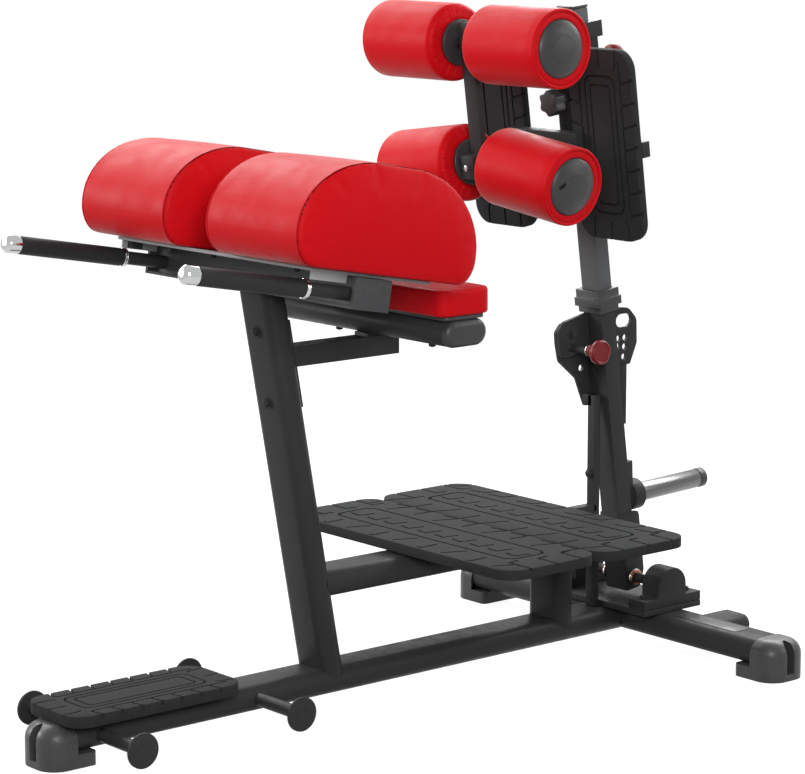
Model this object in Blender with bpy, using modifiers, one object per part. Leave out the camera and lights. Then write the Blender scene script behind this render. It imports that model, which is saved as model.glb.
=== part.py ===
"""Glute ham developer with a tilting ankle post, in metres, +Z up.

The origin is on the floor at the middle of the outer box. +X runs from the front step to the weight
horn, +Y is the left side. The hip pads sit on the front upright, and the ankle rollers and foot plates
slide on a post that tilts backwards about a shaft in two bearing blocks.
"""
import math

import bmesh
import bpy
from mathutils import Matrix, Vector

# Clearances
GAP = 0.0003
SLIDE_CLEARANCE = 0.0006
FACE_OVERLAP = 0.001

# Frame tube: flat-sided oval
TUBE_WIDE = 0.1016
TUBE_THIN = 0.0508
TUBE_UNDERSIDE = 0.026
ROUND_STEPS = 10

# Base
CROSSBAR_X = 0.6135
RAIL_REACH = 1.461
BASE_SPAN = 0.954
STUB_Y = 0.205
STUB_REACH = 0.130
STUB_WIDTH = 0.080
STUB_HEIGHT = 0.042
STUB_DROP = 0.004

# Feet
FOOT_BODY = 0.057
FOOT_LIP = 0.046
FOOT_WALL = 0.0032
FOOT_ROOF = 0.0034
FOOT_END_WALL = 0.012
FOOT_ROUNDING = 0.026
FOOT_LIP_ROUNDING = 0.012
FOOT_SLOT_WIDTH = 0.020
FOOT_SLOT_DEPTH = 0.009
FOOT_SLOT_SILL = 0.014

# Band pegs
PEG_SETBACKS = (0.115, 0.470)
PEG_DIAMETER = 0.0254
PEG_SPAN = 0.360
PEG_DISC_DIAMETER = 0.065
PEG_DISC_THICKNESS = 0.006

# Step and foot plates, which are the same tread
TREAD_LENGTH = 0.378
TREAD_WIDTH = 0.173
TREAD_THICKNESS = 0.018
TREAD_CORNER = 0.040
TREAD_EDGE = 0.0015
STEP_TREAD_THICKNESS = 0.022
STEP_SETBACK = 0.035
STEP_BASE_SETBACK = 0.070
STEP_BASE_LENGTH = 0.300
STEP_BASE_WIDTH = 0.140
CARRIER_SHEET = 0.0036

# Deck
DECK_POST_X = 0.4095
DECK_TOP = 0.292
DECK_TREAD_THICKNESS = 0.020
DECK_SPAN = 0.684
DECK_TREAD_LENGTH = 0.2385
DECK_SEAM = 0.003
DECK_OVERHANG = 0.055
DECK_CORNER = 0.045
DECK_SHEET_MARGIN = 0.045

# Hip carriage, measured along its own pitch
HIP_X = -0.3057
HIP_Z = 0.8714
HIP_PITCH = math.radians(10.3)
UPRIGHT_LEAN = math.radians(10.3)
CARRIAGE_PLATE_DEPTH = 0.278
CARRIAGE_PLATE_WIDTH = 0.590
CARRIAGE_PLATE_THICKNESS = 0.006
PLATE_FLANGE_SPAN = (-0.1325, -0.0515)
PLATE_FLANGE_BOTTOM = -0.0215
PLATE_FLANGE_THICKNESS = 0.005
PLATE_FLANGE_Y = 0.290
BEAM_FRONT = -0.0505
BEAM_DEPTH = 0.082
BEAM_HEIGHT = 0.058
BEAM_WIDTH = 0.618
BEAM_FLANGE = 0.005
BEAM_WEB_SETBACK = 0.015
BEAM_END_THICKNESS = 0.005

# Hip pads
HIP_PAD_DEPTH = 0.419
HIP_PAD_HEIGHT = 0.196
HIP_PAD_WAIST = 0.060
HIP_PAD_CROWN_FLAT = 0.080
HIP_PAD_BASE_FLAT = 0.362
HIP_PAD_WIDTH = 0.275
HIP_PAD_SPACING = 0.120
HIP_PAD_BULGE = 0.010
HIP_PAD_EDGE = 0.016

# Handles
HANDLE_Y = 0.277
HANDLE_DROP = 0.039
HANDLE_ROD_DIAMETER = 0.0254
HANDLE_RING_PLACE = 0.0955
HANDLE_RING_LENGTH = 0.008
HANDLE_RING_DIAMETER = 0.036
GRIP_LENGTH = 0.2315
GRIP_DIAMETER = 0.034
HANDLE_CAP_LENGTH = 0.030
HANDLE_CAP_DIAMETER = 0.034
HANDLE_CAP_SOCKET = 0.018
HANDLE_CAP_CHAMFER = 0.006

# Knee pad and its arm
PAD_TUBE_X = -0.055
PAD_TUBE_Z = 0.737
PAD_TUBE_LENGTH = 0.506
TUBE_CAP_LENGTH = 0.015
TUBE_CAP_ROUNDING = 0.011
ARM_WIDTH = 0.040
ARM_HEIGHT = 0.039
ARM_OVERHANG = 0.043
ARM_SADDLE_HEIGHT = 0.007
ARM_SADDLE_LENGTH = 0.070
ARM_PLATE_THICKNESS = 0.010
ARM_PLATE_HEIGHT = 0.170
ARM_PLATE_WIDTH = 0.050
ARM_PLATE_DROP = 0.014
KNEE_PAD_X = -0.0545
KNEE_BOARD_DEPTH = 0.098
KNEE_BOARD_WIDTH = 0.524
KNEE_BOARD_THICKNESS = 0.007
KNEE_PAD_DEPTH = 0.128
KNEE_PAD_WIDTH = 0.536
KNEE_PAD_THICKNESS = 0.051
KNEE_PAD_CORNER = 0.024
KNEE_PAD_BULGE = 0.003
KNEE_PAD_EDGE = 0.010

# Pivot
PIVOT_Z = 0.130
SHAFT_DIAMETER = 0.020
SHAFT_LENGTH = 0.280
BEARING_PLATE_THICKNESS = 0.012
BEARING_FRONT = 0.0785
BEARING_REAR = 0.0825
BEARING_BASE_HEIGHT = 0.0197
BEARING_RADIUS = 0.0395
BEARING_WIDTH = 0.050
BEARING_Y = 0.123
SPACER_DIAMETER = 0.038
SPACER_THICKNESS = 0.005

# Tilting post, measured along its own lean
POST_LEAN = math.radians(7.74)
POST_DEPTH = 0.0381
POST_WIDTH = 0.0508
POST_BOTTOM = -0.027
POST_SPLIT = 0.600
POST_TOP = 1.190
PLUG_THICKNESS = 0.0055
CHEEK_THICKNESS = 0.005
CHEEK_REAR = 0.034
CHEEK_REAR_BOTTOM = 0.006
CHEEK_TOP = 0.137
CHEEK_ROUNDING = 0.011
CHEEK_FRONT_ROUNDING = 0.002
COLLAR_BOTTOM = 0.569
COLLAR_TIERS = ((0.013, 0.007), (0.018, 0.012), (0.017, 0.009))

# Weight horn
HORN_RISE = math.radians(2.5)
HORN_SETBACK = 0.009
HORN_Z = 0.2968
HORN_PLATE_WIDTH = 0.040
HORN_PLATE_LOW = 0.017
HORN_PLATE_HIGH = 0.077
HORN_HUB_DIAMETER = 0.065
HORN_HUB_LENGTH = 0.0265
HORN_SLEEVE_DIAMETER = 0.040
HORN_SLEEVE_LENGTH = 0.178
HORN_CAP_LENGTH = 0.0195
HORN_CAP_DIAMETER = 0.041
HORN_CAP_CHAMFER = 0.004

# Tilt selector: a fixed plate beside the post, placed from the crossbar, and the post's own pin
SELECTOR_POST_AHEAD = 0.087
SELECTOR_POST_DEPTH = 0.016
SELECTOR_POST_WIDTH = 0.022
SELECTOR_POST_TOP = 0.520
SELECTOR_ARM_HEIGHT = 0.014
SELECTOR_PLATE_Y = 0.028
SELECTOR_PLATE_THICKNESS = 0.008
SELECTOR_WEB_BOTTOM = 0.497
SELECTOR_OUTLINE = (
    (-0.169, 0.653, 0.012), (-0.155, 0.669, 0.012), (-0.086, 0.682, 0.020), (-0.001, 0.689, 0.020),
    (0.036, 0.686, 0.018), (0.0595, 0.661, 0.018), (0.061, 0.610, 0.015), (0.042, 0.567, 0.004),
    (-0.054, 0.563, 0.006), (-0.068, 0.493, 0.002), (-0.086, 0.493, 0.002), (-0.111, 0.552, 0.010),
    (-0.159, 0.592, 0.012), (-0.167, 0.629, 0.015))
SELECTOR_HOLE_DIAMETER = 0.014
SELECTOR_HOLES = ((0.008, 0.623), (0.027, 0.624), (0.007, 0.607), (0.026, 0.605), (0.024, 0.584),
                  (-0.098, 0.573), (-0.139, 0.618))
SELECTOR_WINDOW = (0.022, 0.660, 0.044, 0.028)
SELECTOR_BAR_DEPTH = 0.018
SELECTOR_BAR_REAR = 0.033
SELECTOR_BAR_BOTTOM = 0.441
SELECTOR_BAR_TOP = 0.572
PIN_PLATE_Y = 0.014
PIN_PLATE_THICKNESS = 0.008
PIN_PLATE_MARGIN = 0.002
PIN_PLATE_OUTLINE = (
    (0.085, 0.562, 0.012), (0.101, 0.548, 0.012), (0.105, 0.501, 0.010), (0.094, 0.487, 0.006))
PIN_PLATE_BOTTOM = 0.492
PIN_FORWARD = 0.072
PIN_HEIGHT = 0.506
PIN_DIAMETER = 0.009
PIN_BARREL_DIAMETER = 0.016
PIN_BARREL_END = -0.018
PIN_SLEEVE_DIAMETER = 0.024
PIN_SLEEVE_LENGTH = 0.035
PIN_KNOB_DIAMETER = 0.050
PIN_KNOB_LENGTH = 0.024
PIN_KNOB_ROUNDING = 0.006

# Ankle head, measured in the tilting post's frame
SLEEVE_BOTTOM = 0.900
SLEEVE_TOP = 1.130
SLEEVE_DEPTH = 0.058
SLEEVE_WIDTH = 0.072
SLEEVE_CAP_HEIGHT = 0.032
SLEEVE_CAP_DEPTH = 0.078
SLEEVE_CAP_WIDTH = 0.082
FOOT_PLATE_FRONT = 0.0927
FOOT_PLATE_BOTTOM = 0.752
FOOT_PLATE_INNER = 0.070
PLATE_BAR_SPAN = 0.487
PLATE_BAR_BOTTOM = 0.9176
PLATE_BAR_HEIGHT = 0.0307
PLATE_BAR_DEPTH = 0.020
PLATE_BRIDGE_WIDTH = 0.060
ARM_BAR_WIDTH = 0.0508
ARM_BAR_BOTTOM = 0.905
ARM_BAR_HEIGHT = 0.038
WING_SPAN = 0.200
WING_DEPTH = 0.022
WING_BOTTOM = 0.925
WING_HEIGHT = 0.039
ROLLER_FORWARD = 0.266
ROLLER_HEIGHTS = (0.9277, 1.165)
ROLLER_DROOPS = (math.radians(7.6), 0.0)
CARRIER_BAR_FRONT = 0.2863
CARRIER_BAR_THICKNESS = 0.013
CARRIER_BAR_WIDTH = 0.034
CARRIER_BLOCKS = ((0.313, 0.248, 0.905, 0.951), (0.287, 0.245, 1.138, 1.208))
AXLE_DIAMETER = 0.024
STAR_KNOB_HEIGHT = 1.013
STAR_KNOB_DIAMETER = 0.054
STAR_KNOB_LOBES = 6
STAR_KNOB_LOBE_DEPTH = 0.0028
STAR_KNOB_FRONT = 0.087
STAR_KNOB_THICKNESS = 0.024
STAR_HUB_DIAMETER = 0.026
STAR_HUB_LENGTH = 0.018
STEM_DIAMETER = 0.012
HEIGHT_PIN_HEIGHT = 1.076
HEIGHT_BOSS_LENGTH = 0.028
HEIGHT_BOSS_DIAMETER = 0.026
HEIGHT_KNOB_REAR = 0.112

# Rollers, measured outwards along each axle from the pad's inner face
ROLLER_INNER = 0.0430
ROLLER_LENGTH = 0.207
ROLLER_RADIUS = 0.0762
ROLLER_SHOULDER = 0.022
ROLLER_SHOULDER_STEPS = 4
ROLLER_BEAD = 0.003
ROLLER_BORE_RADIUS = 0.020
ROLLER_SIDES = 24
HUB_FLANGE_RADIUS = 0.0455
HUB_FLANGE_THICKNESS = 0.007
HUB_CAP_RADIUS = 0.056
HUB_CAP_DOME = 0.012
HUB_CAP_STEPS = 4
AXLE_IN_HUB = 0.190

# Derived places
TUBE_Z = TUBE_UNDERSIDE + TUBE_THIN / 2
TUBE_TOP = TUBE_UNDERSIDE + TUBE_THIN
FRONT_X = CROSSBAR_X - RAIL_REACH
DECK_SHEET_TOP = DECK_TOP - DECK_TREAD_THICKNESS - GAP
DECK_BEAM_TOP = DECK_SHEET_TOP - CARRIER_SHEET - GAP
DECK_BEAM_Z = DECK_BEAM_TOP - TUBE_THIN / 2
DECK_REAR = DECK_POST_X + DECK_OVERHANG
BEAM_TOP = -CARRIAGE_PLATE_THICKNESS - 2 * GAP
BEAM_BOTTOM = BEAM_TOP - BEAM_HEIGHT
BEARING_PLATE_TOP = TUBE_TOP + GAP + BEARING_PLATE_THICKNESS
FOOT_PLATE_REAR = FOOT_PLATE_FRONT - TREAD_THICKNESS


# Collections and materials
def new_collection(name):
    collection = bpy.data.collections.new(name)
    bpy.context.scene.collection.children.link(collection)
    return collection


def new_material(name, colour, roughness, metallic=0.0):
    material = bpy.data.materials.new(name)
    material.use_nodes = True
    shader = material.node_tree.nodes["Principled BSDF"]
    shader.inputs["Base Color"].default_value = (*colour, 1.0)
    shader.inputs["Roughness"].default_value = roughness
    shader.inputs["Metallic"].default_value = metallic
    return material


for old in list(bpy.data.objects):
    bpy.data.objects.remove(old, do_unlink=True)

PARTS = new_collection("glute_ham_developer")
CUTTERS = new_collection("cutters")
EMPTIES = new_collection("joints")

BLACK_PAINT = new_material("black_paint", (0.020, 0.020, 0.022), 0.45, 0.30)
GREY_PAINT = new_material("grey_paint", (0.115, 0.120, 0.130), 0.40, 0.50)
PLATE_GREY = new_material("plate_grey", (0.260, 0.265, 0.270), 0.45, 0.50)
CHROME = new_material("chrome", (0.750, 0.750, 0.760), 0.12, 1.00)
RED_VINYL = new_material("red_vinyl", (0.560, 0.010, 0.018), 0.42)
TREAD_RUBBER = new_material("tread_rubber", (0.045, 0.046, 0.048), 0.80)
GRIP_RUBBER = new_material("grip_rubber", (0.022, 0.022, 0.024), 0.70)
BLACK_PLASTIC = new_material("black_plastic", (0.024, 0.024, 0.026), 0.50)
RED_PLASTIC = new_material("red_plastic", (0.400, 0.012, 0.020), 0.40)


# Frames of reference
def moved(x, y, z):
    return Matrix.Translation((x, y, z))


def turned_about(axis, angle):
    return Matrix.Rotation(angle, 4, axis)


QUARTER = math.pi / 2
ALONG_X = Matrix(((0, 0, 1, 0), (1, 0, 0, 0), (0, 1, 0, 0), (0, 0, 0, 1)))
SIDE_ON = turned_about("X", QUARTER)
ACROSS = turned_about("Z", QUARTER)
CARRIAGE = moved(HIP_X, 0, HIP_Z) @ turned_about("Y", HIP_PITCH)
POST = moved(CROSSBAR_X, 0, PIVOT_Z) @ turned_about("Y", -POST_LEAN)
HORN = moved(CROSSBAR_X + HORN_SETBACK, 0, HORN_Z) @ turned_about("Y", -HORN_RISE)


# Outlines
def arc(centre_x, centre_y, radius_x, radius_y, start, end, steps):
    """Points of an elliptical arc, both ends included, with angles in degrees."""
    points = []
    for i in range(steps + 1):
        angle = math.radians(start + (end - start) * i / steps)
        points.append((centre_x + radius_x * math.cos(angle), centre_y + radius_y * math.sin(angle)))
    return points


def racetrack(width, height, growth=0.0):
    """A flat-sided oval, wide along x, with an even margin added all round."""
    radius = height / 2
    flat = width / 2 - radius
    grown = radius + growth
    return (arc(flat, 0, grown, grown, -90, 90, ROUND_STEPS)
            + arc(-flat, 0, grown, grown, 90, 270, ROUND_STEPS))


def rounded_rectangle(width, height, radius, steps=4):
    x, y = width / 2 - radius, height / 2 - radius
    points = []
    for cx, cy, start in ((x, -y, -90), (x, y, 0), (-x, y, 90), (-x, -y, 180)):
        points += arc(cx, cy, radius, radius, start, start + 90, steps)
    return points


def circle(x, y, diameter, sides=12):
    return arc(x, y, diameter / 2, diameter / 2, 0, 360 - 360 / sides, sides - 1)


def softened(corners, steps=2):
    """An outline whose corners (x, y, radius) are rounded off."""
    points = []
    for i, (x, y, radius) in enumerate(corners):
        corner = Vector((x, y))
        back = (Vector(corners[i - 1][:2]) - corner).normalized()
        ahead = (Vector(corners[(i + 1) % len(corners)][:2]) - corner).normalized()
        if radius <= 0:
            points.append((x, y))
            continue
        half = back.angle(ahead) / 2
        start = corner + back * radius / math.tan(half)
        end = corner + ahead * radius / math.tan(half)
        for step in range(steps + 1):
            share = step / steps
            pull = corner * (2 * share * (1 - share))
            points.append(tuple(start * (1 - share) ** 2 + pull + end * share ** 2))
    return points


# Building blocks
def new_object(name, mesh, matrix, collection=PARTS):
    thing = bpy.data.objects.new(name, mesh)
    thing.matrix_world = matrix
    collection.objects.link(thing)
    return thing


def from_bmesh(name, shape, matrix):
    mesh = bpy.data.meshes.new(name)
    bmesh.ops.recalc_face_normals(shape, faces=shape.faces)
    shape.to_mesh(mesh)
    shape.free()
    return new_object(name, mesh, matrix)


def slab(name, loops, thickness, matrix):
    """A flat outline with holes, extruded evenly to both sides of its own plane."""
    curve = bpy.data.curves.new(name, "CURVE")
    curve.dimensions = "2D"
    curve.fill_mode = "BOTH"
    curve.extrude = thickness / 2
    for loop in loops:
        spline = curve.splines.new("POLY")
        spline.points.add(len(loop) - 1)
        for point, (x, y) in zip(spline.points, loop):
            point.co = (x, y, 0, 1)
        spline.use_cyclic_u = True
    guide = new_object(name, curve, Matrix.Identity(4))
    evaluated = guide.evaluated_get(bpy.context.evaluated_depsgraph_get())
    mesh = bpy.data.meshes.new_from_object(evaluated)
    shape = bmesh.new()
    shape.from_mesh(mesh)
    bmesh.ops.remove_doubles(shape, verts=shape.verts, dist=0.00001)
    shape.to_mesh(mesh)
    shape.free()
    bpy.data.objects.remove(guide, do_unlink=True)
    mesh.name = name
    return new_object(name, mesh, matrix)


def block(name, low, high, matrix=Matrix.Identity(4)):
    """A box between two corners."""
    shape = bmesh.new()
    bmesh.ops.create_cube(shape, size=1.0)
    size = Vector(high) - Vector(low)
    middle = (Vector(high) + Vector(low)) / 2
    bmesh.ops.transform(shape, matrix=Matrix.Translation(middle) @ Matrix.Diagonal((*size, 1)),
                        verts=shape.verts)
    return from_bmesh(name, shape, matrix)


def cylinder(name, diameter, low, high, matrix, sides=20):
    """A cylinder on its own Z axis, from low to high."""
    shape = bmesh.new()
    bmesh.ops.create_cone(shape, cap_ends=True, segments=sides, radius1=diameter / 2,
                          radius2=diameter / 2, depth=high - low,
                          matrix=moved(0, 0, (high + low) / 2))
    return from_bmesh(name, shape, matrix)


def turned(name, profile, matrix, sides=20, closed=False):
    """A turned shape from (radius, height) points, top to bottom on its outer side."""
    shape = bmesh.new()
    points = [shape.verts.new((radius, 0, height)) for radius, height in profile]
    for first, second in zip(points, points[1:]):
        shape.edges.new((first, second))
    if closed:
        shape.edges.new((points[-1], points[0]))
    mesh = bpy.data.meshes.new(name)
    shape.to_mesh(mesh)
    shape.free()
    thing = new_object(name, mesh, matrix)
    screw = thing.modifiers.new("turn", "SCREW")
    screw.axis = "Z"
    screw.steps = sides
    screw.render_steps = sides
    screw.use_merge_vertices = True
    screw.merge_threshold = 0.00001
    return thing


def bevelled(thing, width, segments=2, limit=30):
    bevel = thing.modifiers.new("edges", "BEVEL")
    bevel.width = width
    bevel.segments = segments
    bevel.limit_method = "ANGLE"
    bevel.angle_limit = math.radians(limit)
    return thing


def join_or_cut(thing, tools, operation):
    for tool in tools:
        PARTS.objects.unlink(tool)
        CUTTERS.objects.link(tool)
        tool.hide_render = True
        tool.display_type = "WIRE"
        boolean = thing.modifiers.new(operation.lower(), "BOOLEAN")
        boolean.operation = operation
        boolean.solver = "EXACT"
        boolean.object = tool
    return thing


def cut(thing, *tools):
    return join_or_cut(thing, tools, "DIFFERENCE")


def joined(thing, *tools):
    return join_or_cut(thing, tools, "UNION")


def finished(thing, material, name=None):
    """Gives a piece its material, its smooth shading and its node's name."""
    if name:
        thing.name = name
    thing.data.materials.clear()
    thing.data.materials.append(material)
    thing.data.shade_smooth()
    thing.data.set_sharp_from_angle(angle=math.radians(35))
    return thing


def trimmed(thing, point, normal):
    """Removes what lies beyond a plane given in world coordinates, and closes the cut."""
    inverse = thing.matrix_world.inverted()
    shape = bmesh.new()
    shape.from_mesh(thing.data)
    local_normal = (inverse.to_3x3() @ Vector(normal)).normalized()
    geometry = shape.verts[:] + shape.edges[:] + shape.faces[:]
    sliced = bmesh.ops.bisect_plane(shape, geom=geometry, dist=0.000001, clear_outer=True,
                                    plane_co=inverse @ Vector(point), plane_no=local_normal)
    rim = [edge for edge in sliced["geom_cut"] if isinstance(edge, bmesh.types.BMEdge)]
    bmesh.ops.edgeloop_fill(shape, edges=rim)
    bmesh.ops.recalc_face_normals(shape, faces=shape.faces)
    shape.to_mesh(thing.data)
    shape.free()
    return thing


def cushion(name, outline, thickness, edge, bulge_low, bulge_high, matrix):
    """A soft pad: a coarse cage with a crown on its two faces, smoothed once."""
    shape = bmesh.new()
    face = shape.faces.new([shape.verts.new((x, y, -thickness / 2)) for x, y in outline])
    ends = [face]
    for rise in (edge, thickness - 2 * edge, edge):
        grown = bmesh.ops.extrude_face_region(shape, geom=[face])
        fresh = [item for item in grown["geom"] if isinstance(item, bmesh.types.BMVert)]
        bmesh.ops.translate(shape, vec=(0, 0, rise), verts=fresh)
        if face is not ends[0]:
            bmesh.ops.delete(shape, geom=[face], context="FACES_ONLY")
        face = next(item for item in grown["geom"] if isinstance(item, bmesh.types.BMFace))
    ends.append(face)
    for end, bulge in zip(ends, (-bulge_low, bulge_high)):
        bmesh.ops.inset_region(shape, faces=[end], thickness=edge, use_even_offset=True)
        bmesh.ops.translate(shape, vec=(0, 0, bulge), verts=end.verts[:])
        bmesh.ops.inset_region(shape, faces=[end], thickness=2 * edge, use_even_offset=True)
    thing = from_bmesh(name, shape, matrix)
    smooth = thing.modifiers.new("smooth", "SUBSURF")
    smooth.levels = 1
    smooth.render_levels = 1
    return thing


def oval_tube(name, length, matrix, growth=0.0):
    """A length of frame tube along its own Z axis, centred on its middle."""
    return slab(name, [racetrack(TUBE_WIDE, TUBE_THIN, growth)], length, matrix)


def tread(name, length, width, thickness, corner, matrix):
    return bevelled(slab(name, [rounded_rectangle(width, length, corner)], thickness, matrix),
                    TREAD_EDGE, 1, 60)


# Base
def rail_between(name, front, rear, growth=0.0):
    middle = (front + rear) / 2
    return oval_tube(name, rear - front, moved(middle, 0, TUBE_Z) @ ALONG_X, growth)


def base():
    half = BASE_SPAN / 2 - FOOT_END_WALL
    bar_frame = moved(CROSSBAR_X, 0, TUBE_Z) @ SIDE_ON
    crossbar = oval_tube("rear_crossbar", 2 * half, bar_frame)
    for side in (-1, 1):
        outline = racetrack(STUB_WIDTH, STUB_HEIGHT)
        place = moved(CROSSBAR_X + STUB_REACH / 2, side * STUB_Y, TUBE_Z - STUB_DROP) @ ALONG_X
        joined(crossbar, slab("stub_joined", [outline], STUB_REACH, place))
    finished(crossbar, BLACK_PAINT)

    rail = rail_between("base_rail", FRONT_X + FOOT_END_WALL, CROSSBAR_X - FACE_OVERLAP)
    cut(rail, oval_tube("rail_cope", 2 * half, bar_frame, GAP))
    for setback in PEG_SETBACKS:
        axis = moved(FRONT_X + setback, 0, TUBE_Z) @ SIDE_ON
        bore = PEG_DIAMETER + 2 * GAP
        cut(rail, cylinder("peg_bore", bore, -TUBE_WIDE, TUBE_WIDE, axis))
    finished(rail, BLACK_PAINT)

    foot("front_foot", moved(FRONT_X + FOOT_BODY, 0, 0) @ turned_about("Z", math.pi))
    foot_y = BASE_SPAN / 2 - FOOT_BODY
    foot("rear_foot_left", moved(CROSSBAR_X, foot_y, 0) @ ACROSS)
    foot("rear_foot_right", moved(CROSSBAR_X, -foot_y, 0) @ turned_about("Z", -QUARTER))


def foot(name, matrix):
    """A boot over a tube's end, with a skid lip under the tube; its own +X points outwards."""
    half = TUBE_WIDE / 2 + FOOT_WALL
    body = block(name, (0, -half, 0), (FOOT_BODY, half, TUBE_TOP + FOOT_ROOF), matrix)
    shape = bmesh.new()
    shape.from_mesh(body.data)
    outer = [edge for edge in shape.edges
             if max(v.co.z for v in edge.verts) > GAP
             and not all(v.co.x < FOOT_BODY / 2 and abs(v.co.z) < GAP for v in edge.verts)
             and not all(v.co.x < FOOT_BODY / 2 for v in edge.verts)]
    bmesh.ops.bevel(shape, geom=outer, offset=FOOT_ROUNDING, offset_type="OFFSET", segments=4,
                    profile=0.5, affect="EDGES", clamp_overlap=True)
    shape.to_mesh(body.data)
    shape.free()
    lip_top = TUBE_UNDERSIDE - GAP
    lip = slab("foot_lip", [softened(((-FOOT_LIP, -half, FOOT_LIP_ROUNDING),
                                      (FOOT_ROUNDING, -half, 0), (FOOT_ROUNDING, half, 0),
                                      (-FOOT_LIP, half, FOOT_LIP_ROUNDING)))],
               lip_top, matrix @ moved(0, 0, lip_top / 2))
    joined(body, lip)
    reach = FOOT_BODY - FOOT_END_WALL + GAP
    pocket_middle = (reach - FOOT_LIP) / 2
    pocket = matrix @ moved(pocket_middle, 0, TUBE_Z) @ ALONG_X
    cut(body, oval_tube("foot_pocket", reach + FOOT_LIP, pocket, GAP))
    slot_roof = TUBE_TOP + FOOT_ROOF + FACE_OVERLAP
    cut(body, block("foot_slot", (FOOT_BODY - FOOT_SLOT_DEPTH, -FOOT_SLOT_WIDTH / 2, FOOT_SLOT_SILL),
                    (FOOT_BODY + FACE_OVERLAP, FOOT_SLOT_WIDTH / 2, slot_roof), matrix))
    return finished(body, BLACK_PLASTIC)


def band_pegs():
    for name, setback in zip(("band_peg_front", "band_peg_rear"), PEG_SETBACKS):
        end, disc, rod = PEG_SPAN / 2, PEG_DISC_DIAMETER / 2, PEG_DIAMETER / 2
        inner = end - PEG_DISC_THICKNESS
        profile = ((0, end), (disc, end), (disc, inner), (rod, inner),
                   (rod, -inner), (disc, -inner), (disc, -end), (0, -end))
        finished(turned(name, profile, moved(FRONT_X + setback, 0, TUBE_Z) @ SIDE_ON, 24), BLACK_PAINT)


def step():
    bottom = TUBE_TOP + GAP
    front = FRONT_X + STEP_BASE_SETBACK
    sheet = block("step_sheet", (front, -STEP_BASE_WIDTH / 2, bottom),
                  (front + STEP_BASE_LENGTH, STEP_BASE_WIDTH / 2, bottom + CARRIER_SHEET))
    finished(sheet, BLACK_PAINT)
    middle = FRONT_X + STEP_SETBACK + TREAD_LENGTH / 2
    height = bottom + CARRIER_SHEET + GAP + STEP_TREAD_THICKNESS / 2
    finished(tread("step_tread", TREAD_LENGTH, TREAD_WIDTH, STEP_TREAD_THICKNESS, TREAD_CORNER,
                   moved(middle, 0, height) @ turned_about("Z", -QUARTER)), TREAD_RUBBER)


# Deck
def deck():
    rear = DECK_POST_X + TUBE_THIN / 2
    front = upright_axis(DECK_BEAM_Z).x
    beam = oval_tube("deck_frame", rear - front, moved((front + rear) / 2, 0, DECK_BEAM_Z) @ ALONG_X)
    cut(beam, upright("beam_cope", GAP))
    low, high = TUBE_Z, DECK_BEAM_Z
    post = oval_tube("deck_post", high - low, moved(DECK_POST_X, 0, (low + high) / 2) @ ACROSS)
    cut(post, rail_between("post_cope", FRONT_X, CROSSBAR_X, GAP))
    joined(beam, post)
    finished(beam, BLACK_PAINT)

    length = 2 * DECK_TREAD_LENGTH + DECK_SEAM
    sheet = block("deck_sheet",
                  (DECK_REAR - length + DECK_SHEET_MARGIN, -DECK_SPAN / 2 + DECK_SHEET_MARGIN,
                   DECK_BEAM_TOP + GAP),
                  (DECK_REAR - DECK_SHEET_MARGIN, DECK_SPAN / 2 - DECK_SHEET_MARGIN, DECK_SHEET_TOP))
    finished(sheet, BLACK_PAINT)
    rear_x = DECK_REAR - DECK_TREAD_LENGTH / 2
    front_x = rear_x - DECK_TREAD_LENGTH - DECK_SEAM
    for name, x in (("deck_tread_front", front_x), ("deck_tread_rear", rear_x)):
        place = moved(x, 0, DECK_TOP - DECK_TREAD_THICKNESS / 2)
        finished(tread(name, DECK_SPAN, DECK_TREAD_LENGTH, DECK_TREAD_THICKNESS, DECK_CORNER, place),
                 TREAD_RUBBER)


# Front upright, which carries the hip carriage and the knee pad
def upright_axis(height):
    """The point of the upright's centre line at a height."""
    top = CARRIAGE @ Vector((BEAM_FRONT + BEAM_DEPTH / 2, 0, BEAM_BOTTOM))
    return Vector((top.x + math.tan(UPRIGHT_LEAN) * (top.z - height), 0, height))


def upright(name, growth=0.0):
    low, high = upright_axis(TUBE_Z), upright_axis(HIP_Z)
    matrix = Matrix.Translation((low + high) / 2) @ turned_about("Y", -UPRIGHT_LEAN) @ ACROSS
    return oval_tube(name, (high - low).length, matrix, growth)


def front_upright():
    post = upright("main_upright")
    beam_face = CARRIAGE @ Vector((0, 0, BEAM_BOTTOM - GAP))
    trimmed(post, beam_face, CARRIAGE.to_3x3() @ Vector((0, 0, 1)))
    cut(post, rail_between("upright_cope", FRONT_X, CROSSBAR_X, GAP))
    finished(post, BLACK_PAINT)


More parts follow.
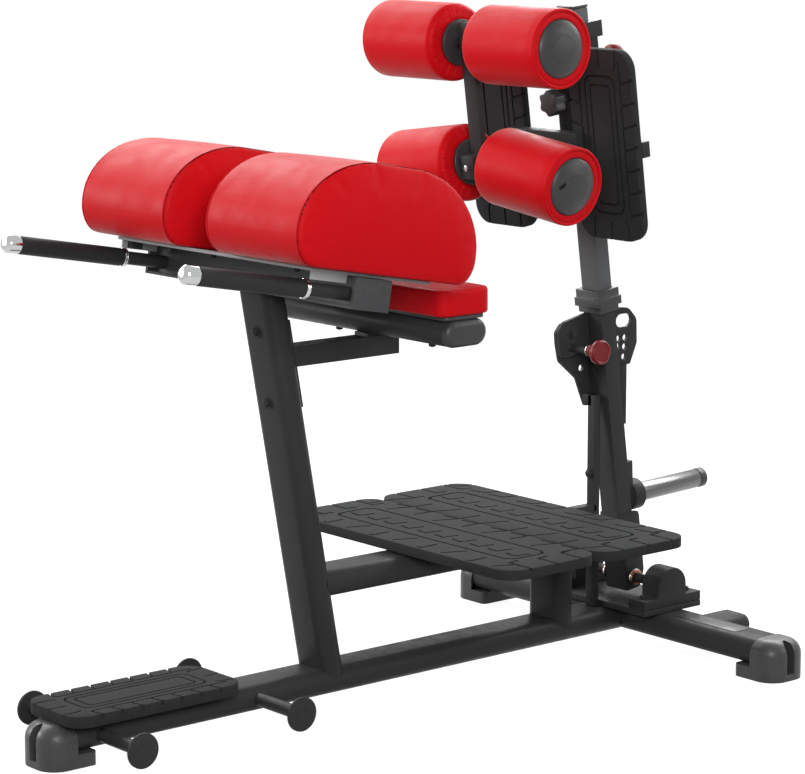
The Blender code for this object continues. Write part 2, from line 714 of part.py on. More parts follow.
def knee_rest():
    tube_rest = PAD_TUBE_Z - TUBE_THIN / 2 - GAP
    arm_top = tube_rest - ARM_SADDLE_HEIGHT
    arm_middle = arm_top - ARM_HEIGHT / 2
    rear_face = upright_axis(arm_middle) + Vector((TUBE_THIN / 2 + GAP, 0, 0)) / math.cos(UPRIGHT_LEAN)
    plate_frame = Matrix.Translation(rear_face) @ turned_about("Y", -UPRIGHT_LEAN)
    plate_low = -ARM_PLATE_HEIGHT / 2 - ARM_PLATE_DROP
    plate = block("pad_arm", (0, -ARM_PLATE_WIDTH / 2, plate_low),
                  (ARM_PLATE_THICKNESS, ARM_PLATE_WIDTH / 2, plate_low + ARM_PLATE_HEIGHT), plate_frame)
    arm = block("arm_joined", (rear_face.x, -ARM_WIDTH / 2, arm_top - ARM_HEIGHT),
                (PAD_TUBE_X + ARM_OVERHANG, ARM_WIDTH / 2, arm_top))
    inside = plate_frame @ Vector((ARM_PLATE_THICKNESS / 2, 0, 0))
    trimmed(arm, inside, plate_frame.to_3x3() @ Vector((-1, 0, 0)))
    saddle_half = ARM_SADDLE_LENGTH / 2
    saddle = block("arm_saddle", (PAD_TUBE_X - saddle_half, -ARM_WIDTH / 2 + GAP, arm_top - FACE_OVERLAP),
                   (PAD_TUBE_X + saddle_half, ARM_WIDTH / 2 - GAP, tube_rest))
    joined(plate, arm, saddle)
    finished(plate, BLACK_PAINT)

    tube_frame = moved(PAD_TUBE_X, 0, PAD_TUBE_Z)
    finished(oval_tube("pad_cross_tube", PAD_TUBE_LENGTH, tube_frame @ SIDE_ON), BLACK_PAINT)
    for name, side in (("tube_cap_left", 1), ("tube_cap_right", -1)):
        place = (tube_frame @ moved(0, side * (PAD_TUBE_LENGTH / 2 + GAP), 0)
                 @ turned_about("X", -side * QUARTER))
        cap = slab(name, [racetrack(TUBE_WIDE, TUBE_THIN)], TUBE_CAP_LENGTH,
                   place @ moved(0, 0, TUBE_CAP_LENGTH / 2))
        shape = bmesh.new()
        shape.from_mesh(cap.data)
        rim = [edge for edge in shape.edges
               if all(v.co.z > 0 for v in edge.verts) and len(edge.link_faces) == 2
               and edge.calc_face_angle() > 1]
        bmesh.ops.bevel(shape, geom=rim, offset=TUBE_CAP_ROUNDING, offset_type="OFFSET", segments=3,
                        profile=0.5, affect="EDGES", clamp_overlap=True)
        shape.to_mesh(cap.data)
        shape.free()
        finished(cap, BLACK_PLASTIC)

    board_low = PAD_TUBE_Z + TUBE_THIN / 2 + GAP
    board_high = board_low + KNEE_BOARD_THICKNESS
    finished(slab("knee_pad_board", [rounded_rectangle(KNEE_BOARD_DEPTH, KNEE_BOARD_WIDTH,
                                                       KNEE_PAD_CORNER / 2)],
                  KNEE_BOARD_THICKNESS, moved(KNEE_PAD_X, 0, (board_low + board_high) / 2)), BLACK_PLASTIC)
    pad_low = board_high + GAP
    finished(cushion("knee_pad", rounded_rectangle(KNEE_PAD_DEPTH, KNEE_PAD_WIDTH, KNEE_PAD_CORNER, 3),
                     KNEE_PAD_THICKNESS - KNEE_PAD_BULGE, KNEE_PAD_EDGE, 0, KNEE_PAD_BULGE,
                     moved(KNEE_PAD_X, 0, pad_low + (KNEE_PAD_THICKNESS - KNEE_PAD_BULGE) / 2)), RED_VINYL)


# Hip carriage
def hip_outline():
    """The D-shaped end of a hip pad, seen from its side, with its underside at zero."""
    half, waist = HIP_PAD_DEPTH / 2, HIP_PAD_WAIST
    crown, base = HIP_PAD_CROWN_FLAT / 2, HIP_PAD_BASE_FLAT / 2
    top = arc(crown, waist, half - crown, HIP_PAD_HEIGHT - waist, 0, 90, 6)
    low = arc(base, waist, half - base, waist, -90, 0, 3)[:-1]
    right = low + top
    return right + [(-x, y) for x, y in reversed(right)]


def hip_carriage():
    plate_top = -GAP
    plate_bottom = plate_top - CARRIAGE_PLATE_THICKNESS
    plate = block("carriage_plate", (-CARRIAGE_PLATE_DEPTH / 2, -CARRIAGE_PLATE_WIDTH / 2, plate_bottom),
                  (CARRIAGE_PLATE_DEPTH / 2, CARRIAGE_PLATE_WIDTH / 2, plate_top), CARRIAGE)
    flange_front, flange_rear = PLATE_FLANGE_SPAN
    for side in (-1, 1):
        inner, outer = sorted((side * PLATE_FLANGE_Y, side * (PLATE_FLANGE_Y - PLATE_FLANGE_THICKNESS)))
        joined(plate, block("plate_flange", (flange_front, inner, PLATE_FLANGE_BOTTOM),
                            (flange_rear, outer, plate_bottom + FACE_OVERLAP), CARRIAGE))
    finished(plate, PLATE_GREY)
    front, rear = BEAM_FRONT, BEAM_FRONT + BEAM_DEPTH
    web = front + BEAM_WEB_SETBACK
    low_flange, high_flange = BEAM_BOTTOM + BEAM_FLANGE, BEAM_TOP - BEAM_FLANGE
    section = ((front, BEAM_BOTTOM), (rear, BEAM_BOTTOM), (rear, BEAM_TOP), (front, BEAM_TOP),
               (front, high_flange), (web, high_flange), (web, low_flange), (front, low_flange))
    beam = slab("carriage_beam", [section], BEAM_WIDTH, CARRIAGE @ SIDE_ON)
    for side in (-1, 1):
        edge = side * BEAM_WIDTH / 2
        inner, outer = sorted((edge, edge + side * BEAM_END_THICKNESS))
        joined(beam, block("beam_end", (front - FACE_OVERLAP, inner - FACE_OVERLAP, BEAM_BOTTOM),
                           (rear + FACE_OVERLAP, outer + FACE_OVERLAP, BEAM_TOP - GAP), CARRIAGE))
    finished(beam, PLATE_GREY)

    for name, side in (("hip_pad_left", 1), ("hip_pad_right", -1)):
        middle = side * (HIP_PAD_SPACING + HIP_PAD_WIDTH) / 2
        finished(cushion(name, hip_outline(), HIP_PAD_WIDTH, HIP_PAD_EDGE, HIP_PAD_BULGE, HIP_PAD_BULGE,
                         CARRIAGE @ moved(0, middle, 0) @ SIDE_ON), RED_VINYL)
    for side_name, side in (("left", 1), ("right", -1)):
        handle(side_name, side, web - GAP)


def handle(side_name, side, start):
    matrix = CARRIAGE @ moved(start, side * HANDLE_Y, -HANDLE_DROP) @ turned_about("Y", -QUARTER)
    rod, ring = HANDLE_ROD_DIAMETER / 2, HANDLE_RING_DIAMETER / 2
    ring_end = HANDLE_RING_PLACE + HANDLE_RING_LENGTH
    grip_start = ring_end + GAP
    cap_start = grip_start + GRIP_LENGTH + GAP
    rod_end = cap_start + HANDLE_CAP_SOCKET - GAP
    profile = ((0, rod_end), (rod, rod_end), (rod, ring_end), (ring, ring_end),
               (ring, HANDLE_RING_PLACE), (rod, HANDLE_RING_PLACE), (rod, 0), (0, 0))
    finished(turned(f"handle_rod_{side_name}", profile, matrix), BLACK_PAINT)
    bore, grip = rod + GAP, GRIP_DIAMETER / 2
    profile = ((bore, cap_start - GAP), (grip, cap_start - GAP), (grip, grip_start), (bore, grip_start))
    finished(turned(f"handle_grip_{side_name}", profile, matrix, closed=True), GRIP_RUBBER)
    cap, end = HANDLE_CAP_DIAMETER / 2, cap_start + HANDLE_CAP_LENGTH
    profile = ((0, end), (cap - HANDLE_CAP_CHAMFER, end), (cap, end - HANDLE_CAP_CHAMFER), (cap, cap_start),
               (bore, cap_start), (bore, cap_start + HANDLE_CAP_SOCKET), (0, cap_start + HANDLE_CAP_SOCKET))
    finished(turned(f"handle_cap_{side_name}", profile, matrix), CHROME)


# Pivot
def pivot():
    low = TUBE_TOP + GAP
    span = BEARING_Y + BEARING_WIDTH / 2
    finished(block("bearing_plate", (CROSSBAR_X - BEARING_FRONT, -span, low),
                   (CROSSBAR_X + BEARING_REAR, span, BEARING_PLATE_TOP)), BLACK_PAINT)
    base_low = BEARING_PLATE_TOP + GAP - PIVOT_Z
    shoulder = base_low + BEARING_BASE_HEIGHT
    outline = ([(-BEARING_FRONT, base_low), (BEARING_REAR, base_low), (BEARING_REAR, shoulder),
                (BEARING_RADIUS, shoulder)]
               + arc(0, 0, BEARING_RADIUS, BEARING_RADIUS, 0, 180, 14)
               + [(-BEARING_RADIUS, shoulder), (-BEARING_FRONT, shoulder)])
    for name, side in (("bearing_block_left", 1), ("bearing_block_right", -1)):
        place = moved(CROSSBAR_X, side * BEARING_Y, PIVOT_Z) @ SIDE_ON
        bearing = slab(name, [outline], BEARING_WIDTH, place)
        bore = SHAFT_DIAMETER + 2 * GAP
        axis = moved(CROSSBAR_X, 0, PIVOT_Z) @ SIDE_ON
        reach = SHAFT_LENGTH / 2 + GAP
        cut(bearing, cylinder("shaft_bore", bore, -reach, reach, axis))
        finished(bearing, BLACK_PAINT)


def tilting_post():
    half_x, half_y = POST_DEPTH / 2, POST_WIDTH / 2
    lower = block("lower_post", (-half_x, -half_y, POST_BOTTOM), (half_x, half_y, POST_SPLIT - GAP), POST)
    cheek = softened(((-half_x, POST_BOTTOM, CHEEK_FRONT_ROUNDING), (half_x, POST_BOTTOM, CHEEK_ROUNDING),
                      (CHEEK_REAR, CHEEK_REAR_BOTTOM, CHEEK_ROUNDING),
                      (CHEEK_REAR, CHEEK_TOP, CHEEK_ROUNDING),
                      (-half_x, CHEEK_TOP, CHEEK_FRONT_ROUNDING)))
    for side in (-1, 1):
        middle = side * (half_y + CHEEK_THICKNESS / 2 - FACE_OVERLAP / 2)
        joined(lower, slab("cheek", [cheek], CHEEK_THICKNESS + FACE_OVERLAP,
                           POST @ moved(0, middle, 0) @ SIDE_ON))
    joined(lower, horn_bracket())
    bore = SHAFT_DIAMETER + 2 * GAP
    cut(lower, cylinder("post_bore", bore, -POST_WIDTH, POST_WIDTH, POST @ SIDE_ON))
    finished(lower, BLACK_PAINT)

    spacer_low = half_y + CHEEK_THICKNESS + GAP
    spacer_high = spacer_low + SPACER_THICKNESS
    shaft, spacer, end = SHAFT_DIAMETER / 2, SPACER_DIAMETER / 2, SHAFT_LENGTH / 2
    profile = ((0, end), (shaft, end), (shaft, spacer_high), (spacer, spacer_high), (spacer, spacer_low),
               (shaft, spacer_low), (shaft, -end), (0, -end))
    finished(turned("pivot_shaft", profile, POST @ turned_about("X", -QUARTER)), BLACK_PAINT)

    finished(block("upper_post", (-half_x, -half_y, POST_SPLIT), (half_x, half_y, POST_TOP), POST),
             GREY_PAINT)
    plug_low = POST_TOP + GAP
    finished(block("post_plug", (-half_x, -half_y, plug_low), (half_x, half_y, plug_low + PLUG_THICKNESS),
                   POST), BLACK_PLASTIC)
    collar()


def horn_bracket():
    """The wedge welded behind the post, with the hub that the weight horn grows from."""
    face = POST_DEPTH / 2 - FACE_OVERLAP
    corners = [HORN @ Vector((0, 0, -HORN_PLATE_LOW)), HORN @ Vector((0, 0, HORN_PLATE_HIGH))]
    inverse = POST.inverted()
    outline = [(corner.x, corner.z) for corner in (inverse @ corner for corner in corners)]
    outline += [(face, outline[1][1]), (face, outline[0][1])]
    wedge = slab("horn_wedge", [outline], HORN_PLATE_WIDTH, POST @ SIDE_ON)
    joined(wedge, cylinder("horn_hub", HORN_HUB_DIAMETER, -FACE_OVERLAP, HORN_HUB_LENGTH,
                           HORN @ turned_about("Y", QUARTER), 24))
    return wedge


def horn():
    matrix = HORN @ turned_about("Y", QUARTER)
    low = HORN_HUB_LENGTH + GAP
    high = low + HORN_SLEEVE_LENGTH
    finished(cylinder("horn_sleeve", HORN_SLEEVE_DIAMETER, low, high, matrix, 28), CHROME)
    cap_low = high + GAP
    end, radius = cap_low + HORN_CAP_LENGTH, HORN_CAP_DIAMETER / 2
    profile = ((0, end), (radius - HORN_CAP_CHAMFER, end), (radius, end - HORN_CAP_CHAMFER),
               (radius, cap_low), (0, cap_low))
    finished(turned("horn_cap", profile, matrix, 28), BLACK_PLASTIC)


def collar():
    """Three tiers clamped round the joint of the two post tubes."""
    half_x, half_y = POST_DEPTH / 2, POST_WIDTH / 2
    low = COLLAR_BOTTOM
    pieces = []
    for height, margin in COLLAR_TIERS:
        pieces.append(block("post_collar", (-half_x - margin, -half_y - margin, low),
                            (half_x + margin, half_y + margin, low + height), POST))
        low += height - GAP
    ring = joined(pieces[0], *pieces[1:])
    hole_x, hole_y = half_x + GAP, half_y + GAP
    cut(ring, block("collar_bore", (-hole_x, -hole_y, 0), (hole_x, hole_y, POST_TOP), POST))
    finished(ring, BLACK_PLASTIC, "post_collar")


# Tilt selector
def selector():
    half_x, half_y = SELECTOR_POST_DEPTH / 2, SELECTOR_POST_WIDTH / 2
    post_x = CROSSBAR_X - SELECTOR_POST_AHEAD
    front, rear = post_x - half_x, post_x + half_x
    post = block("selector_frame", (front, -half_y, TUBE_TOP + GAP), (rear, half_y, SELECTOR_POST_TOP))
    arm_top = DECK_TOP - GAP
    arm = block("selector_arm", (DECK_REAR + GAP, -half_y, arm_top - SELECTOR_ARM_HEIGHT),
                (post_x, half_y, arm_top))
    plate_y = SELECTOR_PLATE_Y + SELECTOR_PLATE_THICKNESS / 2
    loops = [softened(SELECTOR_OUTLINE)]
    loops += [circle(x, z, SELECTOR_HOLE_DIAMETER) for x, z in SELECTOR_HOLES]
    x, z, length, height = SELECTOR_WINDOW
    loops.append([(x + px, z + pz) for px, pz in rounded_rectangle(length, height, height / 2 - GAP)])
    plate = slab("selector_plate", loops, SELECTOR_PLATE_THICKNESS,
                 moved(CROSSBAR_X, plate_y, 0) @ SIDE_ON)
    web = block("selector_web", (front, 0, SELECTOR_WEB_BOTTOM),
                (rear, SELECTOR_PLATE_Y + SELECTOR_PLATE_THICKNESS / 2, SELECTOR_POST_TOP))
    bar_rear = CROSSBAR_X + SELECTOR_BAR_REAR
    bar = block("selector_bar", (bar_rear - SELECTOR_BAR_DEPTH, SELECTOR_PLATE_Y, SELECTOR_BAR_BOTTOM),
                (bar_rear, SELECTOR_PLATE_Y + SELECTOR_PLATE_THICKNESS - GAP, SELECTOR_BAR_TOP))
    finished(joined(post, arm, web, plate, bar), BLACK_PAINT)


def pin_carrier():
    """The plate on the post's front face, with the barrel that guides the tilt pin."""
    face = -POST_DEPTH / 2 - GAP
    corners = [(face, COLLAR_BOTTOM - PIN_PLATE_MARGIN, 0)]
    corners += [(-forward, height, radius) for forward, height, radius in PIN_PLATE_OUTLINE]
    corners.append((face, PIN_PLATE_BOTTOM, 0))
    middle = PIN_PLATE_Y + PIN_PLATE_THICKNESS / 2
    plate = slab("pin_carrier", [softened(corners)], PIN_PLATE_THICKNESS,
                 POST @ moved(0, middle, 0) @ SIDE_ON)
    axis = POST @ moved(-PIN_FORWARD, 0, PIN_HEIGHT) @ turned_about("X", -QUARTER)
    joined(plate, cylinder("pin_barrel", PIN_BARREL_DIAMETER, PIN_BARREL_END, middle, axis))
    bore = PIN_DIAMETER + 2 * SLIDE_CLEARANCE
    cut(plate, cylinder("pin_bore", bore, -POST_WIDTH, POST_WIDTH, axis))
    finished(plate, BLACK_PAINT)

    pin, sleeve, knob = PIN_DIAMETER / 2, PIN_SLEEVE_DIAMETER / 2, PIN_KNOB_DIAMETER / 2
    tip = SELECTOR_PLATE_Y - GAP
    seat = PIN_BARREL_END - GAP
    knob_low = seat - PIN_SLEEVE_LENGTH
    end = knob_low - PIN_KNOB_LENGTH
    profile = ((0, tip), (pin, tip), (pin, seat), (sleeve, seat), (sleeve, knob_low),
               (knob - PIN_KNOB_ROUNDING, knob_low), (knob, knob_low - PIN_KNOB_ROUNDING),
               (knob, end + PIN_KNOB_ROUNDING / 2), (knob - PIN_KNOB_ROUNDING, end), (0, end))
    finished(turned("tilt_pin", profile, axis, 18), RED_PLASTIC)


# Ankle head
def head():
    hole_x, hole_y = POST_DEPTH / 2 + SLIDE_CLEARANCE, POST_WIDTH / 2 + SLIDE_CLEARANCE
    sleeve_face = SLEEVE_DEPTH / 2
    sleeve = block("head_sleeve", (-sleeve_face, -SLEEVE_WIDTH / 2, SLEEVE_BOTTOM),
                   (sleeve_face, SLEEVE_WIDTH / 2, SLEEVE_TOP + FACE_OVERLAP), POST)
    cap = block("sleeve_cap", (-SLEEVE_CAP_DEPTH / 2, -SLEEVE_CAP_WIDTH / 2, SLEEVE_TOP),
                (SLEEVE_CAP_DEPTH / 2, SLEEVE_CAP_WIDTH / 2, SLEEVE_TOP + SLEEVE_CAP_HEIGHT), POST)
    rearwards = POST @ moved(0, 0, HEIGHT_PIN_HEIGHT) @ turned_about("Y", QUARTER)
    boss_end = sleeve_face + HEIGHT_BOSS_LENGTH
    boss = cylinder("pin_boss", HEIGHT_BOSS_DIAMETER, sleeve_face - FACE_OVERLAP, boss_end, rearwards)
    joined(sleeve, cap, boss)
    cut(sleeve, block("sleeve_bore", (-hole_x, -hole_y, 0), (hole_x, hole_y, POST_TOP), POST))
    bore = STEM_DIAMETER + 2 * SLIDE_CLEARANCE
    cut(sleeve, cylinder("pin_hole", bore, 0, boss_end + GAP, rearwards))
    forwards = POST @ moved(0, 0, STAR_KNOB_HEIGHT) @ turned_about("Y", -QUARTER)
    cut(sleeve, cylinder("knob_hole", bore, 0, SLEEVE_DEPTH, forwards))
    finished(sleeve, BLACK_PAINT)

    bar_front, bar_rear = -FOOT_PLATE_REAR + GAP, -sleeve_face - GAP
    half, half_bridge = PLATE_BAR_SPAN / 2, PLATE_BRIDGE_WIDTH / 2
    bar_top = PLATE_BAR_BOTTOM + PLATE_BAR_HEIGHT
    bar_back = bar_front + PLATE_BAR_DEPTH
    bar = block("plate_bar", (bar_front, -half, PLATE_BAR_BOTTOM), (bar_back, half, bar_top), POST)
    bridge = block("bar_bridge", (bar_back - FACE_OVERLAP, -half_bridge, PLATE_BAR_BOTTOM + FACE_OVERLAP),
                   (bar_rear, half_bridge, bar_top - FACE_OVERLAP), POST)
    finished(joined(bar, bridge), BLACK_PAINT)

    for name, side in (("foot_plate_left", 1), ("foot_plate_right", -1)):
        middle_y = side * (FOOT_PLATE_INNER + TREAD_WIDTH / 2)
        middle_x = -FOOT_PLATE_FRONT + TREAD_THICKNESS / 2
        place = POST @ moved(middle_x, middle_y, FOOT_PLATE_BOTTOM + TREAD_LENGTH / 2) @ ACROSS
        finished(tread(name, TREAD_LENGTH, TREAD_WIDTH, TREAD_THICKNESS, TREAD_CORNER,
                       place @ SIDE_ON), TREAD_RUBBER)
    roller_mounts(bar_front)
    head_knobs(rearwards, forwards, boss_end)


def roller_mounts(bar_front):
    block_rear = -CARRIER_BLOCKS[0][1]
    half = ARM_BAR_WIDTH / 2
    arm = block("roller_arm", (block_rear + GAP, -half, ARM_BAR_BOTTOM),
                (bar_front - GAP, half, ARM_BAR_BOTTOM + ARM_BAR_HEIGHT), POST)
    wing_rear = -FOOT_PLATE_FRONT - GAP
    wing = block("wing_joined", (wing_rear - WING_DEPTH, -WING_SPAN / 2, WING_BOTTOM),
                 (wing_rear, WING_SPAN / 2, WING_BOTTOM + WING_HEIGHT), POST)
    finished(joined(arm, wing), BLACK_PAINT)

    half = CARRIER_BAR_WIDTH / 2
    low = CARRIER_BLOCKS[0][3] - FACE_OVERLAP
    high = CARRIER_BLOCKS[1][3] - FACE_OVERLAP
    carrier = block("roller_carrier", (-CARRIER_BAR_FRONT, -half + GAP, low),
                    (-CARRIER_BAR_FRONT + CARRIER_BAR_THICKNESS, half - GAP, high), POST)
    for front, rear, bottom, top in CARRIER_BLOCKS:
        joined(carrier, block("axle_block", (-front, -half, bottom), (-rear, half, top), POST))
    for axle in axle_frames().values():
        joined(carrier, cylinder("axle", AXLE_DIAMETER, -ROLLER_INNER + AXLE_DIAMETER / 4,
                                 AXLE_IN_HUB - 2 * GAP, axle, 16))
    finished(carrier, BLACK_PAINT)


def axle_frames():
    """Each roller's own frame: on its axle at the pad's inner face, with Z pointing outwards."""
    frames = {}
    for level, height, droop in zip(("lower", "upper"), ROLLER_HEIGHTS, ROLLER_DROOPS):
        for side_name, side in (("left", 1), ("right", -1)):
            outwards = turned_about("X", -side * (QUARTER + droop))
            start = moved(-ROLLER_FORWARD, side * ROLLER_INNER, height)
            frames[f"{level}_{side_name}"] = POST @ start @ outwards
    return frames


def head_knobs(rearwards, forwards, boss_end):
    stem = STEM_DIAMETER / 2
    inner = POST_DEPTH / 2 + SLIDE_CLEARANCE
    knob, neck = PIN_KNOB_DIAMETER / 2, PIN_SLEEVE_DIAMETER / 2
    seat = boss_end + GAP
    end = HEIGHT_KNOB_REAR
    knob_low = end - PIN_KNOB_LENGTH
    profile = ((0, end), (knob - PIN_KNOB_ROUNDING, end), (knob, end - PIN_KNOB_ROUNDING / 2),
               (knob, knob_low + PIN_KNOB_ROUNDING), (knob - PIN_KNOB_ROUNDING, knob_low), (neck, knob_low),
               (neck, seat), (stem, seat), (stem, inner), (0, inner))
    finished(turned("height_pin", profile, rearwards, 18), RED_PLASTIC)

    outline = []
    points = STAR_KNOB_LOBES * 6
    for i in range(points):
        angle = 2 * math.pi * i / points
        radius = STAR_KNOB_DIAMETER / 2 - STAR_KNOB_LOBE_DEPTH * (1 - math.cos(STAR_KNOB_LOBES * angle))
        outline.append((radius * math.cos(angle), radius * math.sin(angle)))
    front = STAR_KNOB_FRONT
    middle = front - STAR_KNOB_THICKNESS / 2
    star = slab("star_knob", [outline], STAR_KNOB_THICKNESS, forwards @ moved(0, 0, middle))
    hub_end = front - STAR_KNOB_THICKNESS + FACE_OVERLAP
    hub = cylinder("star_hub", STAR_HUB_DIAMETER, hub_end - STAR_HUB_LENGTH, hub_end, forwards, 18)
    rod = cylinder("star_stem", STEM_DIAMETER, inner, middle, forwards, 14)
    finished(joined(star, hub, rod), BLACK_PLASTIC)


# Rollers
def rollers():
    for name, matrix in axle_frames().items():
        finished(turned(f"roller_pad_{name}", pad_profile(), matrix, ROLLER_SIDES, closed=True), RED_VINYL)
        finished(turned(f"roller_hub_{name}", hub_profile(), matrix, ROLLER_SIDES), BLACK_PLASTIC)


def pad_profile():
    """The foam roller from its outer end to its shoulder at the inner end, then its bore."""
    radius, length, bead = ROLLER_RADIUS, ROLLER_LENGTH, ROLLER_BEAD
    shoulder = [(radius - ROLLER_SHOULDER + across, along)
                for across, along in arc(0, ROLLER_SHOULDER, ROLLER_SHOULDER, ROLLER_SHOULDER, 0, -90,
                                         ROLLER_SHOULDER_STEPS)]
    return ([(ROLLER_BORE_RADIUS, length - bead), (HUB_CAP_RADIUS + bead, length - bead),
             (HUB_CAP_RADIUS + 2 * bead, length), (radius - 2 * bead, length),
             (radius - bead / 2, length - bead), (radius, length - 4 * bead)]
            + shoulder + [(ROLLER_BORE_RADIUS, 0)])


def hub_profile():
    """The flange, tube and domed end cap that the pad is held between, with a blind bore."""
    bore, tube = AXLE_DIAMETER / 2 + SLIDE_CLEARANCE, ROLLER_BORE_RADIUS - GAP
    seat = ROLLER_LENGTH - ROLLER_BEAD + GAP
    dome = arc(0, seat + HUB_CAP_DOME / 3, HUB_CAP_RADIUS, HUB_CAP_DOME, 90, 0, HUB_CAP_STEPS)
    dome[0] = (0, dome[0][1])
    return (dome + [(HUB_CAP_RADIUS, seat), (tube, seat), (tube, -GAP), (HUB_FLANGE_RADIUS, -GAP),
                    (HUB_FLANGE_RADIUS, -HUB_FLANGE_THICKNESS), (bore, -HUB_FLANGE_THICKNESS),
                    (bore, AXLE_IN_HUB), (0, AXLE_IN_HUB)])


def build():
    base()
    band_pegs()
    step()
    deck()
    front_upright()
    knee_rest()
    hip_carriage()
    pivot()
    tilting_post()
    horn()
    selector()
    pin_carrier()
    head()
    rollers()


build()
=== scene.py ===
"""Glute ham developer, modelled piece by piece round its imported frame."""
import math

import bpy
from bpy.props import FloatProperty, FloatVectorProperty, IntProperty, PointerProperty
from mathutils import Matrix, Vector


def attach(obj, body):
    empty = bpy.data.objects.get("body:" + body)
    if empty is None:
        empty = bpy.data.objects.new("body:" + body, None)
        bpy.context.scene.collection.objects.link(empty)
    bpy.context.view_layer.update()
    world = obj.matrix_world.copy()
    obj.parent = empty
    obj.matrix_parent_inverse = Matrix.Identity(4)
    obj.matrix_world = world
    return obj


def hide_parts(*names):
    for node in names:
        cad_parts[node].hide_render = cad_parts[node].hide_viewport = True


bl_info = {
    "name": "Glute Ham Developer Modeller",
    "version": (1, 0, 0),
    "blender": (4, 5, 0),
    "location": "3D View > Sidebar > Bench",
    "description": "Models a glute ham developer piece by piece round its packed frame",
    "category": "Add Mesh",
}

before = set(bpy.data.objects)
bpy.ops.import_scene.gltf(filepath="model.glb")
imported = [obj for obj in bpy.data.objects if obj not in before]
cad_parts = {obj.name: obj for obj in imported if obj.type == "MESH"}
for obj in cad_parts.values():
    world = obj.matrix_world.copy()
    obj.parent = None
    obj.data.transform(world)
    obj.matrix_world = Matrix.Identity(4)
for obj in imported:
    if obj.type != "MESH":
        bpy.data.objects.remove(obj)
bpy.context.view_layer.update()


# Places
def at(x, y, z):
    return Matrix.Translation((x, y, z))


def turn(angle, axis):
    return Matrix.Rotation(angle, 4, axis)


# Frame tube and base, in metres
TUBE = (0.1016, 0.0508)
TUBE_Z = 0.0514
FRONT_X = -0.8475
CROSSBAR_X = 0.6135
STUB = (0.080, 0.042)
FOOT_WIDTH = 0.108
FOOT_HEIGHT = 0.0802
PIVOT_Z = 0.130

# Hip carriage, ankle post and weight horn each have a leaning frame of their own
HIP_PITCH = math.radians(10.3)
POST_LEAN = math.radians(7.74)
HORN_RISE = math.radians(2.5)
QUARTER = math.pi / 2
SIDE_ON = turn(QUARTER, "X")
CARRIAGE = at(-0.3057, 0, 0.8714) @ turn(HIP_PITCH, "Y")
POST = at(CROSSBAR_X, 0, PIVOT_Z) @ turn(-POST_LEAN, "Y")
HORN = at(0.6225, 0, 0.2968) @ turn(QUARTER - HORN_RISE, "Y")
SIDES = (("left", 1), ("right", -1))


# Selecting, as by hand
def clear_selection():
    if bpy.context.mode != "OBJECT":
        bpy.ops.object.mode_set(mode="OBJECT")
    bpy.ops.object.select_all(action="DESELECT")


def work_on(thing):
    clear_selection()
    bpy.context.view_layer.objects.active = thing
    thing.select_set(True)


def pick(thing, kind, test):
    """Enters edit mode with the points, edges or faces selected whose places pass the test."""
    work_on(thing)
    mesh = thing.data
    points = mesh.vertices
    for group in (points, mesh.edges, mesh.polygons):
        group.foreach_set("select", [False] * len(group))
    if kind == "VERT":
        for point in points:
            point.select = bool(test(point.co))
    elif kind == "EDGE":
        for edge in mesh.edges:
            start, end = (points[i].co for i in edge.vertices)
            edge.select = bool(test(start, end))
    else:
        for face in mesh.polygons:
            face.select = bool(test(face.center, face.normal))
    bpy.context.tool_settings.mesh_select_mode = (kind == "VERT", kind == "EDGE", kind == "FACE")
    bpy.ops.object.mode_set(mode="EDIT")


def done():
    bpy.ops.object.mode_set(mode="OBJECT")


def extruded(move):
    bpy.ops.mesh.extrude_region_move(TRANSFORM_OT_translate={"value": move})


def rolled_over(depth, steps, spread=1.0):
    """Insets and raises the picked faces along a quarter circle, spread times as wide as it is deep."""
    for i in range(steps):
        start, stop = QUARTER * i / steps, QUARTER * (i + 1) / steps
        bpy.ops.mesh.inset(thickness=depth * spread * (math.cos(start) - math.cos(stop)),
                           depth=depth * (math.sin(stop) - math.sin(start)), use_even_offset=True)


def facing_out():
    bpy.ops.mesh.select_all(action="SELECT")
    bpy.ops.mesh.normals_make_consistent(inside=False)


# Shaping
def added(name):
    thing = bpy.context.object
    thing.name = name
    thing.data.name = name
    bpy.ops.object.transform_apply(location=True, rotation=True, scale=True)
    return thing


def bar(name, low, high):
    """A straight-sided bar between two corners."""
    clear_selection()
    low, high = Vector(low), Vector(high)
    bpy.ops.mesh.primitive_cube_add(size=1, location=(low + high) / 2, scale=high - low)
    return added(name)


def rod(name, diameter, low, high, sides=32):
    """A round rod on the Z axis."""
    clear_selection()
    bpy.ops.mesh.primitive_cylinder_add(vertices=sides, radius=diameter / 2, depth=high - low,
                                        location=(0, 0, (high + low) / 2))
    return added(name)


def placed(thing, matrix):
    """Applies a place, so that the object stays at the origin."""
    work_on(thing)
    thing.matrix_world = matrix
    bpy.ops.object.transform_apply(location=True, rotation=True, scale=True)
    return thing


def apply(thing, kind, **settings):
    work_on(thing)
    modifier = thing.modifiers.new(kind.lower(), kind)
    for key, value in settings.items():
        setattr(modifier, key, value)
    bpy.ops.object.modifier_apply(modifier=modifier.name)
    return thing


def eased(thing, width, segments=2, angle=35):
    return apply(thing, "BEVEL", width=width, segments=segments, limit_method="ANGLE",
                 angle_limit=math.radians(angle), harden_normals=False)


def shaped(thing, tools, operation="DIFFERENCE"):
    for tool in tools:
        apply(thing, "BOOLEAN", operation=operation, solver="EXACT", use_self=True, object=tool)
        bpy.data.objects.remove(tool, do_unlink=True)
    return thing


def mended(thing, distance=0.00001):
    """Merges what lies together and turns every face outwards."""
    pick(thing, "VERT", lambda point: True)
    bpy.ops.mesh.remove_doubles(threshold=distance)
    bpy.ops.mesh.normals_make_consistent(inside=False)
    done()
    return thing


